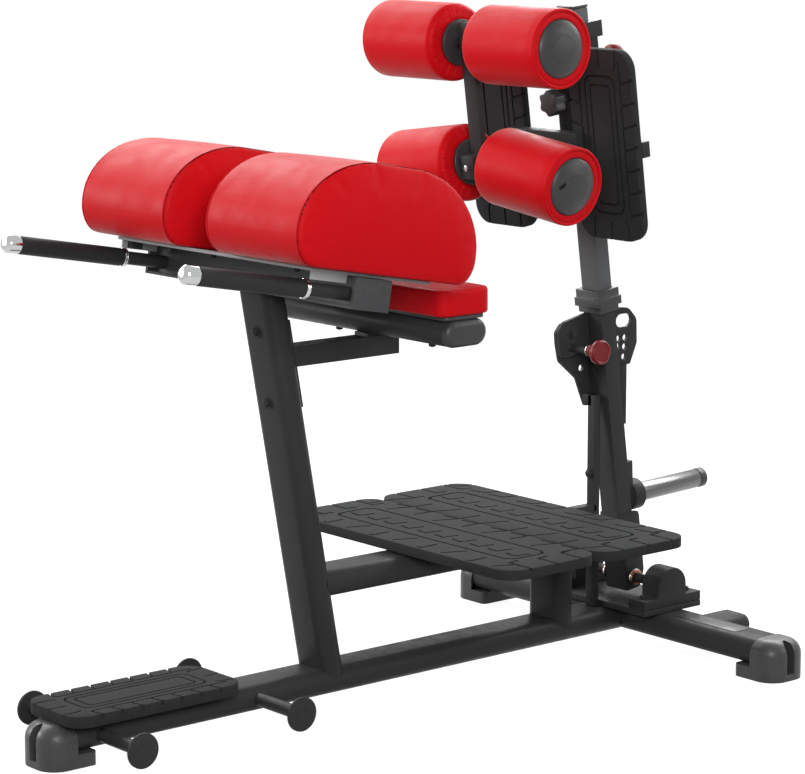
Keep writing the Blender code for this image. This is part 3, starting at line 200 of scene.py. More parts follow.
def gathered(name, pieces):
    """Joins pieces of one finish into one object."""
    work_on(pieces[0])
    for piece in pieces[1:]:
        piece.select_set(True)
    if len(pieces) > 1:
        bpy.ops.object.join()
    pieces[0].name = name
    pieces[0].data.name = name
    return pieces[0]


def drawn(name, points):
    """A line drawn point by point: one point is extruded along it, from each place to the next."""
    clear_selection()
    points = [Vector(point) for point in points]
    bpy.ops.mesh.primitive_plane_add(size=0.01, location=points[0])
    line = added(name)
    pick(line, "VERT", lambda point: True)
    bpy.ops.mesh.merge(type="CENTER")
    for start, end in zip(points, points[1:]):
        extruded(end - start)
    done()
    return line


def filled(name, outline, height):
    """A flat face inside a closed line, at one height."""
    corners = [(x, y, height) for x, y in outline]
    face = drawn(name, corners + corners[:1])
    pick(face, "VERT", lambda point: True)
    bpy.ops.mesh.remove_doubles(threshold=0.000005)
    bpy.ops.mesh.edge_face_add()
    done()
    return face


def thickened(face, depth):
    """Extrudes a flat piece upwards into a closed solid."""
    pick(face, "FACE", lambda centre, normal: True)
    extruded((0, 0, depth))
    facing_out()
    done()
    return face


def outline_piece(name, outline, low, high):
    """A flat outline drawn in X and Y, extruded from low to high."""
    return thickened(filled(name, outline, low), high - low)


def turned(name, profile, sides=48, closed=False):
    """A profile of (radius, height) points, spun round the Z axis."""
    points = [(radius, 0, height) for radius, height in profile]
    thing = drawn(name, points + points[:1] if closed else points)
    pick(thing, "VERT", lambda point: True)
    bpy.ops.mesh.spin(steps=sides, angle=2 * math.pi, center=(0, 0, 0), axis=(0, 0, 1))
    done()
    return mended(thing)


def arc(centre, radius, start, end, steps):
    """Points of an arc from start to end degrees; radius is one number or two."""
    rx, ry = radius if isinstance(radius, tuple) else (radius, radius)
    angles = (math.radians(start + (end - start) * i / steps) for i in range(steps + 1))
    return [(centre[0] + rx * math.cos(angle), centre[1] + ry * math.sin(angle)) for angle in angles]


def rounded_rectangle(half_x, half_y, radius, steps=5):
    points = []
    for sx, sy, start in ((1, -1, -90), (1, 1, 0), (-1, 1, 90), (-1, -1, 180)):
        centre = (sx * (half_x - radius), sy * (half_y - radius))
        points += arc(centre, radius, start, start + 90, steps)
    return points


def rounded_outline(corners, steps=6):
    """An outline whose corners (x, y, radius) are rounded off."""
    points = []
    for i, (x, y, radius) in enumerate(corners):
        corner = Vector((x, y))
        back = (Vector(corners[i - 1][:2]) - corner).normalized()
        ahead = (Vector(corners[(i + 1) % len(corners)][:2]) - corner).normalized()
        reach = radius / math.tan(back.angle(ahead) / 2)
        start, end = corner + back * reach, corner + ahead * reach
        for step in range(steps + 1):
            t = step / steps
            points.append(tuple(start * (1 - t) ** 2 + corner * 2 * t * (1 - t) + end * t ** 2))
    return points


def towards(origin, direction, wide):
    """A frame at a point, with Z along a direction and X as near as it can be to another."""
    z = Vector(direction).normalized()
    y = z.cross(Vector(wide)).normalized()
    x = y.cross(z)
    matrix = Matrix((x, y, z)).transposed().to_4x4()
    matrix.translation = origin
    return matrix


def oval_tube(name, start, end, wide, section=TUBE, ease=0.0012):
    """A flat-sided oval tube between two points, wide along a given direction."""
    start, end = Vector(start), Vector(end)
    radius = section[1] / 2
    stretch = section[0] / 2 - radius
    clear_selection()
    half_step = math.radians(3.75)
    length = (end - start).length
    bpy.ops.mesh.primitive_cylinder_add(vertices=48, radius=radius, depth=length,
                                        location=(0, 0, length / 2), rotation=(0, 0, half_step))
    tube = added(name)
    for side in (-1, 1):
        pick(tube, "VERT", lambda point: point.x * side > 0)
        bpy.ops.transform.translate(value=(side * stretch, 0, 0))
        done()
    if ease:
        eased(tube, ease, 2, 60)
    return placed(tube, towards(start, end - start, wide))


def finished(thing, finish, body, *nodes, angle=35):
    """Gives a piece its finish and shading, and says what it rides on and stands for."""
    work_on(thing)
    thing.data.materials.clear()
    thing.data.materials.append(FINISHES[finish])
    bpy.ops.object.shade_smooth_by_angle(angle=math.radians(angle))
    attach(thing, body)
    if nodes:
        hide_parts(*nodes)
    return thing


def cad_piece(name, node, finish, body="frame", ease=0.001, segments=2):
    """A CAD node's own shape with its loose faces merged and its edges eased, to stand for the node."""
    clear_selection()
    thing = bpy.data.objects.new(name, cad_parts[node].data.copy())
    bpy.context.collection.objects.link(thing)
    pick(thing, "VERT", lambda point: True)
    bpy.ops.mesh.remove_doubles(threshold=0.00002)
    bpy.ops.mesh.dissolve_limited(angle_limit=math.radians(0.5))
    done()
    return finished(eased(thing, ease, segments), finish, body, node)


def turned_piece(name, profile, matrix, finish, body, *nodes, sides=48, closed=True):
    """A turned piece, put in its place and finished."""
    return finished(placed(turned(name, profile, sides, closed), matrix), finish, body, *nodes)


# Finishes
FINISHES = {}


def valued(node, **values):
    """Sets a node's sockets, whose names have a space for each underscore."""
    for socket, value in values.items():
        node.inputs[socket.replace("_", " ")].default_value = value
    return node


class Finish:
    """A material under construction: a Principled shader fed by patterns on Object coordinates."""

    def __init__(self, name, colour, roughness, metallic=0.0, specular=None):
        self.material = bpy.data.materials.new(name)
        self.material.use_nodes = True
        self.nodes = self.material.node_tree.nodes
        self.links = self.material.node_tree.links
        self.shader = self.nodes["Principled BSDF"]
        self.colour = colour
        self.set("Base Color", (*colour, 1.0))
        self.set("Roughness", roughness)
        self.set("Metallic", metallic)
        if specular is not None:
            self.set("Specular IOR Level", specular)
        self.place = self.nodes.new("ShaderNodeTexCoord").outputs["Object"]
        self.last_bump = None
        FINISHES[name] = self.material

    def set(self, socket, value):
        self.shader.inputs[socket].default_value = value

    def node(self, kind, **values):
        return valued(self.nodes.new("ShaderNode" + kind), **values)

    def noise(self, scale, detail=3.0, roughness=0.5):
        node = self.node("TexNoise", Scale=scale, Detail=detail, Roughness=roughness)
        self.links.new(self.place, node.inputs["Vector"])
        return node.outputs["Fac"]

    def cells(self, scale):
        node = self.node("TexVoronoi", Scale=scale)
        node.feature = "DISTANCE_TO_EDGE"
        self.links.new(self.place, node.inputs["Vector"])
        return node.outputs["Distance"]

    def ranged(self, value, low, high, start=0.35, end=0.65):
        node = self.node("MapRange", From_Min=start, From_Max=end, To_Min=low, To_Max=high)
        self.links.new(value, node.inputs["Value"])
        return node.outputs["Result"]

    def tinted(self, value, dark, light, start=0.35, end=0.65):
        """The base colour runs from a darker to a lighter shade of itself."""
        node = self.node("ValToRGB")
        for element, place, share in zip(node.color_ramp.elements, (start, end), (dark, light)):
            element.position = place
            element.color = (*(c * share for c in self.colour), 1.0)
        self.links.new(value, node.inputs["Fac"])
        self.links.new(node.outputs["Color"], self.shader.inputs["Base Color"])

    def bump(self, value, strength, distance):
        node = self.node("Bump", Strength=strength, Distance=distance)
        self.links.new(value, node.inputs["Height"])
        if self.last_bump:
            self.links.new(self.last_bump, node.inputs["Normal"])
        self.last_bump = node.outputs["Normal"]
        self.links.new(self.last_bump, self.shader.inputs["Normal"])

    def varied(self, value, low, high):
        self.links.new(self.ranged(value, low, high), self.shader.inputs["Roughness"])

    def patterned(self, tint=None, gloss=None, relief=None):
        """Each pattern is a noise's scale and detail, then the two ends of what it drives."""
        for pattern, drive in ((tint, self.tinted), (gloss, self.varied), (relief, self.bump)):
            if pattern:
                drive(self.noise(*pattern[:-2]), *pattern[-2:])


def mix_finishes(colours):
    for name, colour, roughness, metallic in (
            ("black_paint", colours.paint, 0.36, 0.0), ("grey_paint", colours.grey_paint, 0.38, 0.05),
            ("beam_paint", colours.beam, 0.40, 0.0), ("plate_grey", colours.plate, 0.45, 0.0)):
        gloss = (60, 4.0, roughness - 0.05, roughness + 0.07)
        paint = Finish(name, colour, roughness, metallic, 0.05)
        paint.patterned((1500, 2.0, 0.72, 1.35), gloss, (1500, 2.0, 0.22, 0.0004))

    shaded_chrome, zinc, copper = (0.115, 0.116, 0.118), (0.42, 0.42, 0.43), (0.40, 0.15, 0.09)
    chrome = Finish("chrome", colours.chrome, 0.10, 1.0)
    chrome.patterned(None, (90, 4.0, 0.07, 0.15), (800, 2.0, 0.03, 0.0002))
    # The horn's metal is a darkened copy of chrome: painted shade standing in for dark reflections on its
    # lower side
    Finish("shaded_horn_chrome", shaded_chrome, 0.26, 1.0).patterned(None, (70, 4.0, 0.24, 0.29), (700, 2.0, 0.01, 0.0002))
    Finish("zinc", zinc, 0.30, 1.0).patterned((200, 3.0, 0.8, 1.1), (300, 3.0, 0.22, 0.42))
    Finish("copper", copper, 0.32, 1.0).patterned(None, (300, 3.0, 0.24, 0.42))

    vinyl = Finish("red_vinyl", colours.vinyl, 0.46, specular=0.05)
    vinyl.set("Sheen Weight", 0.08)
    vinyl.set("Sheen Roughness", 0.30)
    vinyl.patterned((900, 3.0, 0.88, 1.14), (25, 3.0, 0.38, 0.48))
    vinyl.bump(vinyl.ranged(vinyl.cells(620), 0.0, 1.0, 0.0, 0.18), 0.14, 0.0004)
    vinyl.bump(vinyl.noise(14, 2.0), 0.10, 0.004)

    # The seam thread is coloured far darker than the vinyl: painted shade of the seam groove, laid onto the
    # stitching
    shade_thread = Finish("seam_shade_thread", (0.085, 0.002, 0.004), 0.7, specular=0.05)
    shade_thread.patterned((900, 3.0, 0.8, 1.2))
    rubber = Finish("tread_rubber", colours.rubber, 0.82, specular=0.08)
    rubber.patterned((1300, 3.0, 0.7, 0.45, 1.75), None, (1100, 3.0, 0.7, 0.55, 0.0006))
    grip = Finish("grip_rubber", colours.grip, 0.62, specular=0.20)
    grip.patterned((1200, 3.0, 0.75, 1.3), None, (1000, 3.0, 0.25, 0.0004))
    for name, colour in (("black_plastic", colours.plastic), ("boot_plastic", colours.boots)):
        plastic = Finish(name, colour, 0.40, specular=0.26)
        plastic.patterned((1400, 2.0, 0.75, 1.4), (45, 3.0, 0.33, 0.45), (1200, 2.0, 0.12, 0.0003))
    knob = Finish("red_plastic", colours.knob, 0.36, specular=0.20)
    knob.patterned((500, 2.0, 0.88, 1.15), None, (900, 2.0, 0.08, 0.0003))


# Sizes and colours that a user would change
def length(name, description, default):
    return FloatProperty(name=name, description=description, default=default, min=0.0001, unit="LENGTH")


def colour(name, description, default):
    return FloatVectorProperty(name=name, description=description, default=default, min=0.0, max=1.0,
                               size=3, subtype="COLOR")


class BenchSizes(bpy.types.PropertyGroup):
    groove_width: length("Groove width", "Width of the grooves moulded in the treads", 0.0046)
    groove_depth: length("Groove depth", "Depth of the grooves moulded in the treads", 0.0046)
    seam_width: length("Seam width", "Width of the seams sewn round the hip pads' ends", 0.0024)
    seam_depth: length("Seam depth", "Depth of the seams sewn round the hip pads' ends", 0.0016)
    hip_pad_depth: length("Hip pad depth", "Length of a hip pad from front to rear", 0.4185)
    hip_pad_height: length("Hip pad height", "Height of a hip pad above its plate", 0.1960)
    roller_radius: length("Roller radius", "Outer radius of the foam rollers", 0.0762)
    roller_length: length("Roller length", "Length of a foam roller", 0.207)
    pleats: IntProperty(name="Pleats", min=6, default=20,
                        description="Sewn pleats round a roller's inner face")
    bolt_size: length("Bolt size", "Width of the hexagon bolt heads across their corners", 0.017)
    swell: length("Swell", "Furthest that the pads' covers swell as cloth", 0.0045)

    def give(self):
        """How much smaller a pad starts, to leave room for its swell."""
        return self.swell * 0.25


class BenchColours(bpy.types.PropertyGroup):
    paint: colour("Frame paint", "Black powder coat of the frame", (0.0320, 0.0320, 0.0328))
    grey_paint: colour("Post paint", "Grey satin paint of the upper post", (0.095, 0.097, 0.101))
    beam: colour("Beam paint", "Dark grey paint of the beam under the hip carriage", (0.058, 0.059, 0.061))
    plate: colour("Plate paint", "Light grey paint of the hip carriage", (0.340, 0.343, 0.348))
    chrome: colour("Chrome", "Plated caps and the weight horn", (0.480, 0.484, 0.490))
    vinyl: colour("Vinyl", "Red upholstery of the pads and rollers", (0.490, 0.0045, 0.0085))
    rubber: colour("Tread rubber", "Charcoal rubber of the treads", (0.0215, 0.0221, 0.0231))
    grip: colour("Grip rubber", "Black rubber of the handle grips", (0.014, 0.014, 0.0145))
    plastic: colour("Plastic", "Black plastic of the caps and hubs", (0.030, 0.0302, 0.031))
    boots: colour("Boots", "Black rubber of the boots", (0.042, 0.0423, 0.0432))
    knob: colour("Pull knobs", "Red plastic of the pull pins' knobs", (0.150, 0.008, 0.009))


# Small things that repeat
def hex_bolt(size, matrix, washer=True):
    """A hexagon bolt head with its washer, standing on the Z axis."""
    parts = []
    base = 0.0
    if washer:
        parts.append(eased(rod("washer", size * 1.45, 0.0, size * 0.10, 24), 0.0003, 1))
        base = size * 0.10
    parts.append(eased(rod("head", size, base, base + size * 0.42, 6), size * 0.06, 2))
    parts.append(eased(rod("stub_end", size * 0.5, base, base + size * 0.50, 16), size * 0.04, 1))
    for part in parts:
        placed(part, matrix)
    return parts


def hex_bolts(name, size, matrices, body, finish="black_paint", washer=True):
    parts = []
    for matrix in matrices:
        parts += hex_bolt(size, matrix, washer)
    return finished(gathered(name, parts), finish, body)


class StepByStep:
    """What every modelling step shares."""
    bl_options = {"REGISTER", "UNDO"}

    def execute(self, context):
        self.model(context.scene.bench_sizes)
        clear_selection()
        return {"FINISHED"}


class BENCH_OT_base(StepByStep, bpy.types.Operator):
    """Model the base rail, the rear crossbar and its two stubs"""
    bl_idname = "bench.base"
    bl_label = "Base"

    def model(self, sizes):
        rail = oval_tube("rail", (FRONT_X + 0.050, 0, TUBE_Z), (CROSSBAR_X - 0.004, 0, TUBE_Z), (0, 1, 0))
        finished(rail, "black_paint", "frame", "base_rail")
        half, stub_y, stub_z = 0.427, 0.205, TUBE_Z - 0.004
        stub_end, plug_end = CROSSBAR_X + 0.122, CROSSBAR_X + 0.130
        cross = oval_tube("crossbar", (CROSSBAR_X, -half, TUBE_Z), (CROSSBAR_X, half, TUBE_Z), (1, 0, 0))
        stubs = []
        for y in (-stub_y, stub_y):
            stubs.append(oval_tube("stub", (CROSSBAR_X, y, stub_z), (stub_end, y, stub_z), (0, 1, 0), STUB))
            plug = oval_tube("stub_plug", (stub_end + 0.0005, y, stub_z), (plug_end, y, stub_z), (0, 1, 0),
                             (STUB[0] - 0.001, STUB[1] - 0.001), 0.003)
            finished(plug, "black_plastic", "frame")
        finished(gathered("crossbar", [cross] + stubs), "black_paint", "frame", "rear_crossbar")


class BENCH_OT_boots(StepByStep, bpy.types.Operator):
    """Model the domed rubber boots over the tube ends"""
    bl_idname = "bench.boots"
    bl_label = "Boots"

    def model(self, sizes):
        places = {
            "front_foot": at(FRONT_X + 0.057, 0, 0) @ turn(math.pi, "Z"),
            "rear_foot_left": at(CROSSBAR_X, 0.420, 0) @ turn(QUARTER, "Z"),
            "rear_foot_right": at(CROSSBAR_X, -0.420, 0) @ turn(-QUARTER, "Z"),
        }
        for node, matrix in places.items():
            boot = placed(self.boot(), matrix)
            boot.name = node + "_boot"
            finished(boot, "boot_plastic", "frame", node)

    def boot(self):
        """A domed block cut off behind, with a lip round the tube and a slot in its nose."""
        reach, half, corner, dome = 0.057, FOOT_WIDTH / 2, 0.040, 0.032
        outline = arc((reach - corner, corner - half), corner, -90, 0, 12)
        outline += arc((reach - corner, half - corner), corner, 0, 90, 12)
        outline += [(-0.060, half), (-0.060, -half)]
        body = outline_piece("boot", outline, 0, FOOT_HEIGHT - dome)
        pick(body, "FACE", lambda centre, normal: normal.z > 0.9)
        rolled_over(dome, 9)
        done()
        shaped(body, [bar("behind", (-0.100, -0.100, -0.010), (-0.004, 0.100, 0.200))])
        corners = ((-0.046, -half, 0.012), (0.010, -half, 0.001), (0.010, half, 0.001),
                   (-0.046, half, 0.012))
        shaped(body, [outline_piece("lip", rounded_outline(corners), 0, 0.0256)], "UNION")
        slot = outline_piece("slot", [(-0.0105, 0.0135), (0.0105, 0.0135)]
                             + arc((0, 0.068), 0.0105, 0, 180, 12), -0.026, 0.030)
        placed(slot, towards((reach, 0, 0), (1, 0, 0), (0, 1, 0)))
        shaped(body, [slot])
        return eased(body, 0.0012, 2, 40)


class BENCH_OT_pegs(StepByStep, bpy.types.Operator):
    """Model the band pegs through the base rail"""
    bl_idname = "bench.pegs"
    bl_label = "Band pegs"

    def model(self, sizes):
        for node, x in (("band_peg_front", FRONT_X + 0.115), ("band_peg_rear", FRONT_X + 0.470)):
            end, disc, inner, rod_radius, edge = 0.180, 0.0325, 0.174, 0.0127, 0.0012
            half = [(0, end), (0.0125, end), (0.0127, end - 0.0004), (0.0131, end - 0.0004), (0.0133, end),
                    (disc - edge, end), (disc - edge * 0.3, end - edge * 0.3), (disc, end - edge),
                    (disc, inner + edge), (disc - edge, inner), (rod_radius + 0.0015, inner),
                    (rod_radius, inner - 0.0015)]
            profile = half + [(radius, -height) for radius, height in reversed(half)]
            peg = placed(turned(node + "_bar", profile, 56), at(x, 0, TUBE_Z) @ SIDE_ON)
            finished(peg, "black_paint", "frame", node, angle=25)


# Treads
def groove(points, width, low, high, closed=False):
    """A strip along a line of points, as deep as from low to high, to cut a groove with."""
    count = len(points)
    spots = [Vector(point) for point in points]
    left, right = [], []
    for i, spot in enumerate(spots):
        back = spots[i - 1] if closed or i else None
        ahead = spots[(i + 1) % count] if closed or i < count - 1 else None
        before = (spot - back).normalized() if back else (ahead - spot).normalized()
        after = (ahead - spot).normalized() if ahead else before
        across = Vector((-(before + after).y, (before + after).x)).normalized()
        reach = width / 2 / max(across.dot(Vector((-after.y, after.x))), 0.5)
        left.append(spot + across * reach)
        right.append(spot - across * reach)
    if not closed:
        return outline_piece("groove", left + right[::-1], low, high)
    rings = []
    for ring in (left, right):
        corners = [(x, y, low) for x, y in ring]
        rings.append(drawn("groove", corners + corners[:1]))
    strip = gathered("groove", rings)
    pick(strip, "VERT", lambda point: True)
    bpy.ops.mesh.remove_doubles(threshold=0.000005)
    bpy.ops.mesh.bridge_edge_loops()
    done()
    return thickened(strip, high - low)


def border_lines(half_length, half_width, pitch, reach, lean):
    """The hooked grooves that part the blocks along the long edges, and the straight ones at the ends."""
    lines, notches = [], []
    count = int((2 * half_length - 0.060) / pitch)
    first = -(count - 1) * pitch / 2
    for side in (-1, 1):
        edge, inner = side * half_width, side * (half_width - reach)
        for i in range(count):
            x = first + i * pitch
            lines.append([(x, edge + side * 0.004), (x + lean, inner + side * 0.003),
                          (x + lean + 0.004, inner), (x + pitch * 0.82, inner - side * 0.0012)])
            notches.append((x, edge, side))
    for end in (-1, 1):
        start = end * (half_length + 0.004)
        for share, depth in ((-0.56, 0.040), (-0.02, 0.036), (0.54, 0.044)):
            y, stop = half_width * share, half_length - depth
            bent = y - math.copysign(0.005, y) if abs(y) > 0.01 else y
            lines.append([(start, y), (end * (stop + 0.012), y), (end * stop, bent)])
    return lines, notches


def tread(name, length, width, thickness, corner, wide, depth, lines, notches, channels):
    """A moulded rubber tread lying on its back, centred, with its face at the top."""
    outline = rounded_rectangle(length / 2, width / 2, corner, 8)
    body = eased(outline_piece(name, outline, -thickness / 2, thickness / 2), 0.0013, 2, 60)
    low, high = thickness / 2 - depth, thickness / 2 + 0.002
    tools = [groove(line, wide, low, high) for line in lines]
    for half_x, half_y, radius in channels:
        tools.append(groove(rounded_rectangle(half_x, half_y, radius, 3), wide, low, high, True))
    for x, y, side in notches:
        outside, half = y + side * 0.002, 0.0060
        mouth = [(x - half, outside), (x + half, outside), (x - 0.0004, y - side * 0.0052)]
        tools.append(outline_piece("notch", mouth, thickness / 2 - 0.0080, high + 0.001))
    return carved(body, tools)


def deck_lines(outer, half_length, half_width):
    """The grooves of one half of the deck; outer is the side of its long outer edge."""
    lines, notches = [], []
    for i in range(10):
        x = -0.248 + 0.052 * i
        lines.append([(x + 0.032, 0.0150), (x + 0.002, 0.0185), (x - 0.004, -0.0170)])
    for i in range(9):
        x = 0.300 - 0.0725 * i - (0.0150 if i % 2 else 0.0)
        leans = i % 2 == 0
        lean, reach = (0.022, 0.050) if leans else (-0.002, 0.042)
        edge = outer * half_width
        if outer > 0:
            start = edge - 0.010
            line = [(x, start), (x - lean, start - reach)]
            lines.append(line if leans else [(x + 0.012, start + 0.001)] + line)
        else:
            lines.append([(x, edge - 0.004), (x + 0.010, edge + 0.036), (x + 0.052, edge + 0.042)])
            notches.append((x, edge, outer))
        seam = -edge
        lean, reach = (0.022, 0.056) if leans == (outer < 0) else (0.002, 0.046)
        lines.append([(x - outer * 0.001, seam - outer * 0.004), (x + outer * lean, seam + outer * reach)])
        if outer > 0:
            lines.append([(x + 0.001, seam + 0.0045), (x + 0.044, seam + 0.0075)])
    for end in (-1, 1):
        start = end * (half_length + 0.004)
        for share, reach in ((-0.56, 0.058), (-0.02, 0.052), (0.54, 0.060)):
            y, stop = half_width * share, half_length - reach
            lines.append([(start, y), (end * stop, y), (end * (stop - 0.004), y - 0.026)])
    return lines, notches


def carved(body, tools):
    """Cuts many tools out at once, each taken as a solid of its own."""
    group = bpy.data.collections.new("tools")
    bpy.context.scene.collection.children.link(group)
    for tool in tools:
        bpy.context.collection.objects.unlink(tool)
        group.objects.link(tool)
    apply(body, "BOOLEAN", operation="DIFFERENCE", solver="EXACT", operand_type="COLLECTION",
          collection=group)
    for tool in tools:
        bpy.data.objects.remove(tool, do_unlink=True)
    bpy.data.collections.remove(group)
    return body


class BENCH_OT_treads(StepByStep, bpy.types.Operator):
    """Model the rubber treads of the step, the deck and the foot plates"""
    bl_idname = "bench.treads"
    bl_label = "Treads"

    def model(self, sizes):
        length, width, corner, wide, deep = 0.378, 0.173, 0.040, sizes.groove_width, sizes.groove_depth
        lines, notches = border_lines(length / 2, width / 2, 0.0435, 0.029, -0.007)
        grooves = (corner, wide, deep, lines, notches, ((0.136, 0.041, 0.018), (0.118, 0.027, 0.008)))
        step = placed(tread("step", length, width, 0.022, *grooves), at(-0.6235, 0, 0.092))
        finished(step, "tread_rubber", "frame", "step_tread")
        cad_piece("step_base", "step_sheet", "black_paint")

        for name, side in SIDES:
            node = "foot_plate_" + name
            plate = tread(node + "_rubber", length, width, 0.018, *grooves)
            placed(plate, POST @ towards((-0.0927 + 0.009, side * 0.1565, 0.941), (-1, 0, 0), (0, 0, 1)))
            finished(plate, "tread_rubber", "head", node)

        deck_length, deck_width = 0.684, 0.2385
        for node, x, outer in (("deck_tread_front", 0.10375, 1), ("deck_tread_rear", 0.34525, -1)):
            lines, notches = deck_lines(outer, deck_length / 2, deck_width / 2)
            deck = tread(node + "_rubber", deck_length, deck_width, 0.020, 0.045, wide * 1.35, deep,
                         lines, notches, ((0.264, 0.048, 0.020),))
            placed(deck, towards((x, 0, 0.282), (0, 0, 1), (0, 1, 0)))
            finished(deck, "tread_rubber", "frame", node)
        cad_piece("deck_base", "deck_sheet", "black_paint")


class BENCH_OT_uprights(StepByStep, bpy.types.Operator):
    """Model the leaning upright, the deck's beam and post, and the knee pad's arm"""
    bl_idname = "bench.uprights"
    bl_label = "Uprights and deck frame"

    def model(self, sizes):
        def axis(height):
            return Vector((-0.3266 + math.tan(HIP_PITCH) * (0.80954 - height), 0, height))

        post = oval_tube("upright", axis(TUBE_Z + 0.010), axis(0.860), (0, 1, 0), ease=0.0006)
        shaped(post, [placed(bar("above", (-0.4, -0.2, -0.0648), (0.4, 0.2, 0.3)), CARRIAGE)])
        finished(eased(post, 0.0008, 2, 50), "black_paint", "frame", "main_upright")
        deck_z, leg_x = 0.2424, 0.4095
        beam = oval_tube("deck_beam", (axis(deck_z).x + 0.010, 0, deck_z), (0.4349, 0, deck_z), (0, 1, 0))
        leg = oval_tube("deck_leg", (leg_x, 0, TUBE_Z + 0.010), (leg_x, 0, deck_z), (0, 1, 0), ease=0.0004)
        finished(gathered("deck_frame_tubes", [beam, leg]), "black_paint", "frame", "deck_frame")
        cad_piece("knee_arm", "pad_arm", "black_paint")

        heads = []
        for height, ahead in ((0.742, -0.0254), (0.606, -0.0254), (0.742, 0.0354), (0.606, 0.0254)):
            spot = at(*axis(height)) @ turn(-HIP_PITCH, "Y")
            heads.append(spot @ at(ahead, 0, 0) @ turn(math.copysign(QUARTER, ahead), "Y"))
        hex_bolts("upright_bolts", sizes.bolt_size, heads, "frame")


class BENCH_OT_knee(StepByStep, bpy.types.Operator):
    """Model the knee pad, its board, its cross tube and the tube's caps"""
    bl_idname = "bench.knee"
    bl_label = "Knee pad"

    def model(self, sizes):
        x, z, half = -0.055, 0.737, 0.253
        tube = oval_tube("cross_tube", (x, -half, z), (x, half, z), (1, 0, 0))
        finished(tube, "black_paint", "frame", "pad_cross_tube")
        section, far = (TUBE[0] + 0.0008, TUBE[1] + 0.0008), half + 0.015
        for name, side in SIDES:
            cap = oval_tube("tube_cap_" + name + "_moulded", (x, side * (half + 0.0003), z),
                            (x, side * (half + 0.0151), z), (1, 0, 0), section, 0.0)
            pick(cap, "EDGE", lambda a, b: abs(a.y) > far and abs(b.y) > far)
            bpy.ops.mesh.bevel(offset=0.0125, segments=7, affect="EDGES")
            done()
            mended(cap)
            finished(cap, "black_plastic", "frame", "tube_cap_" + name)
        cad_piece("pad_board", "knee_pad_board", "black_plastic", ease=0.0015)
        bolts = [at(x - 0.0185, y, z - 0.0254) @ turn(math.pi, "X") for y in (0.086, -0.189)]
        hex_bolts("tube_bolts", sizes.bolt_size * 0.85, bolts, "frame", washer=False)

        depth, width, thickness, give = 0.128, 0.536, 0.050, sizes.give()
        outline = rounded_rectangle(depth / 2 - give, width / 2 - give, 0.024, 6)
        pad = cushion("knee_pad_cover", outline, thickness, sizes, roll=0.006, crown=0.0028 - give / 2,
                      stations=4, seams=(), flat_start=True)
        swelled(pad, lambda place: place.z < 0.004 - thickness / 2, (), sizes, voxel=0.004)
        placed(pad, at(-0.0545, 0, 0.7701 + thickness / 2))
        finished(pad, "red_vinyl", "frame", "knee_pad")


# Cushions
def cushion(name, outline, thickness, sizes, roll, crown, stations, seams=(-1, 1), flat_start=False,
            spread=1.0):
    """A pad drawn in X and Y, rolled over at both ends, with a seam before each roll that has one."""
    pad = filled(name, outline, roll - thickness / 2)
    pick(pad, "FACE", lambda centre, normal: True)
    inside = thickness - 2 * roll
    seam = sizes.seam_width / 2
    steps = [seam, seam] + [(inside - 4 * seam) / stations] * stations + [seam, seam]
    for rise in steps:
        extruded((0, 0, rise))
    facing_out()
    done()
    for end in seams:
        level = end * (inside / 2 - seam)
        pick(pad, "VERT", lambda point: abs(point.z - level) < seam / 4)
        bpy.ops.transform.shrink_fatten(value=-sizes.seam_depth)
        done()
    top = inside / 2 - 0.0001
    for end in (-1, 1):
        pick(pad, "FACE", lambda centre, normal: centre.z * end > top and normal.z * end > 0.9)
        rolled_over(roll, 5, spread)
        if not (flat_start and end < 0):
            for share in (0.5, 0.3, 0.15, 0.05):
                extruded((0, 0, end * crown * share))
                bpy.ops.transform.resize(value=(0.88 - share * 0.1, 0.84 - share * 0.2, 1))
        bpy.ops.mesh.poke()
        done()
    return mended(pad, 0.00005)


def swelled(pad, rests, seams, sizes, voxel=0.005):
    """Lets a cover swell as cloth under pressure, held at its seams and where it rests."""
    scene, frames = bpy.context.scene, 20
    work_on(pad)
    pad.data.remesh_voxel_size = voxel
    bpy.ops.object.voxel_remesh()
    start = [point.co.copy() for point in pad.data.vertices]
    group = pad.vertex_groups.new(name="held")
    held = [i for i, place in enumerate(start)
            if rests(place) or any(abs(place.z - level) < 0.003 for level in seams)]
    group.add(held, 1.0, "REPLACE")
    modifier = pad.modifiers.new("cloth", "CLOTH")
    cloth = modifier.settings
    cloth.quality = 6
    cloth.tension_stiffness = cloth.compression_stiffness = 25
    cloth.bending_stiffness = 2.0
    cloth.use_pressure = True
    cloth.uniform_pressure_force = 4
    cloth.effector_weights.gravity = 0
    cloth.vertex_group_mass = group.name
    modifier.point_cache.frame_start, modifier.point_cache.frame_end = 1, frames
    for number in range(1, frames + 1):
        scene.frame_set(number)
    bpy.ops.object.modifier_apply(modifier=modifier.name)
    scene.frame_set(1)
    moves = [point.co - place for point, place in zip(pad.data.vertices, start)]
    share = min(1.0, sizes.swell / max(move.length for move in moves))
    for point, place, move in zip(pad.data.vertices, start, moves):
        point.co = place + move * share
    pad.vertex_groups.clear()
    return sewn(apply(pad, "SUBSURF", levels=1, render_levels=1), seams, sizes)


def sewn(pad, seams, sizes):
    """Draws the points next to each seam together, to half a groove's width, and the seam itself inwards."""
    fold, half, reach, deeper, flat = 0.00126, 0.0014, 0.0040, 0.0024, 0.7
    places = [(point.co.copy(), point.normal.copy()) for point in pad.data.vertices]
    for level in seams:
        for point, (place, normal) in zip(pad.data.vertices, places):
            off = place.z - level
            if abs(off) > reach or abs(normal.z) > flat:
                continue
            if abs(off) > fold:
                point.co.z = level + math.copysign(half + (abs(off) - fold) * 0.9, off)
            else:
                point.co.z = level
                point.co -= Vector((normal.x, normal.y, 0)).normalized() * (sizes.seam_depth + deeper)
    return pad


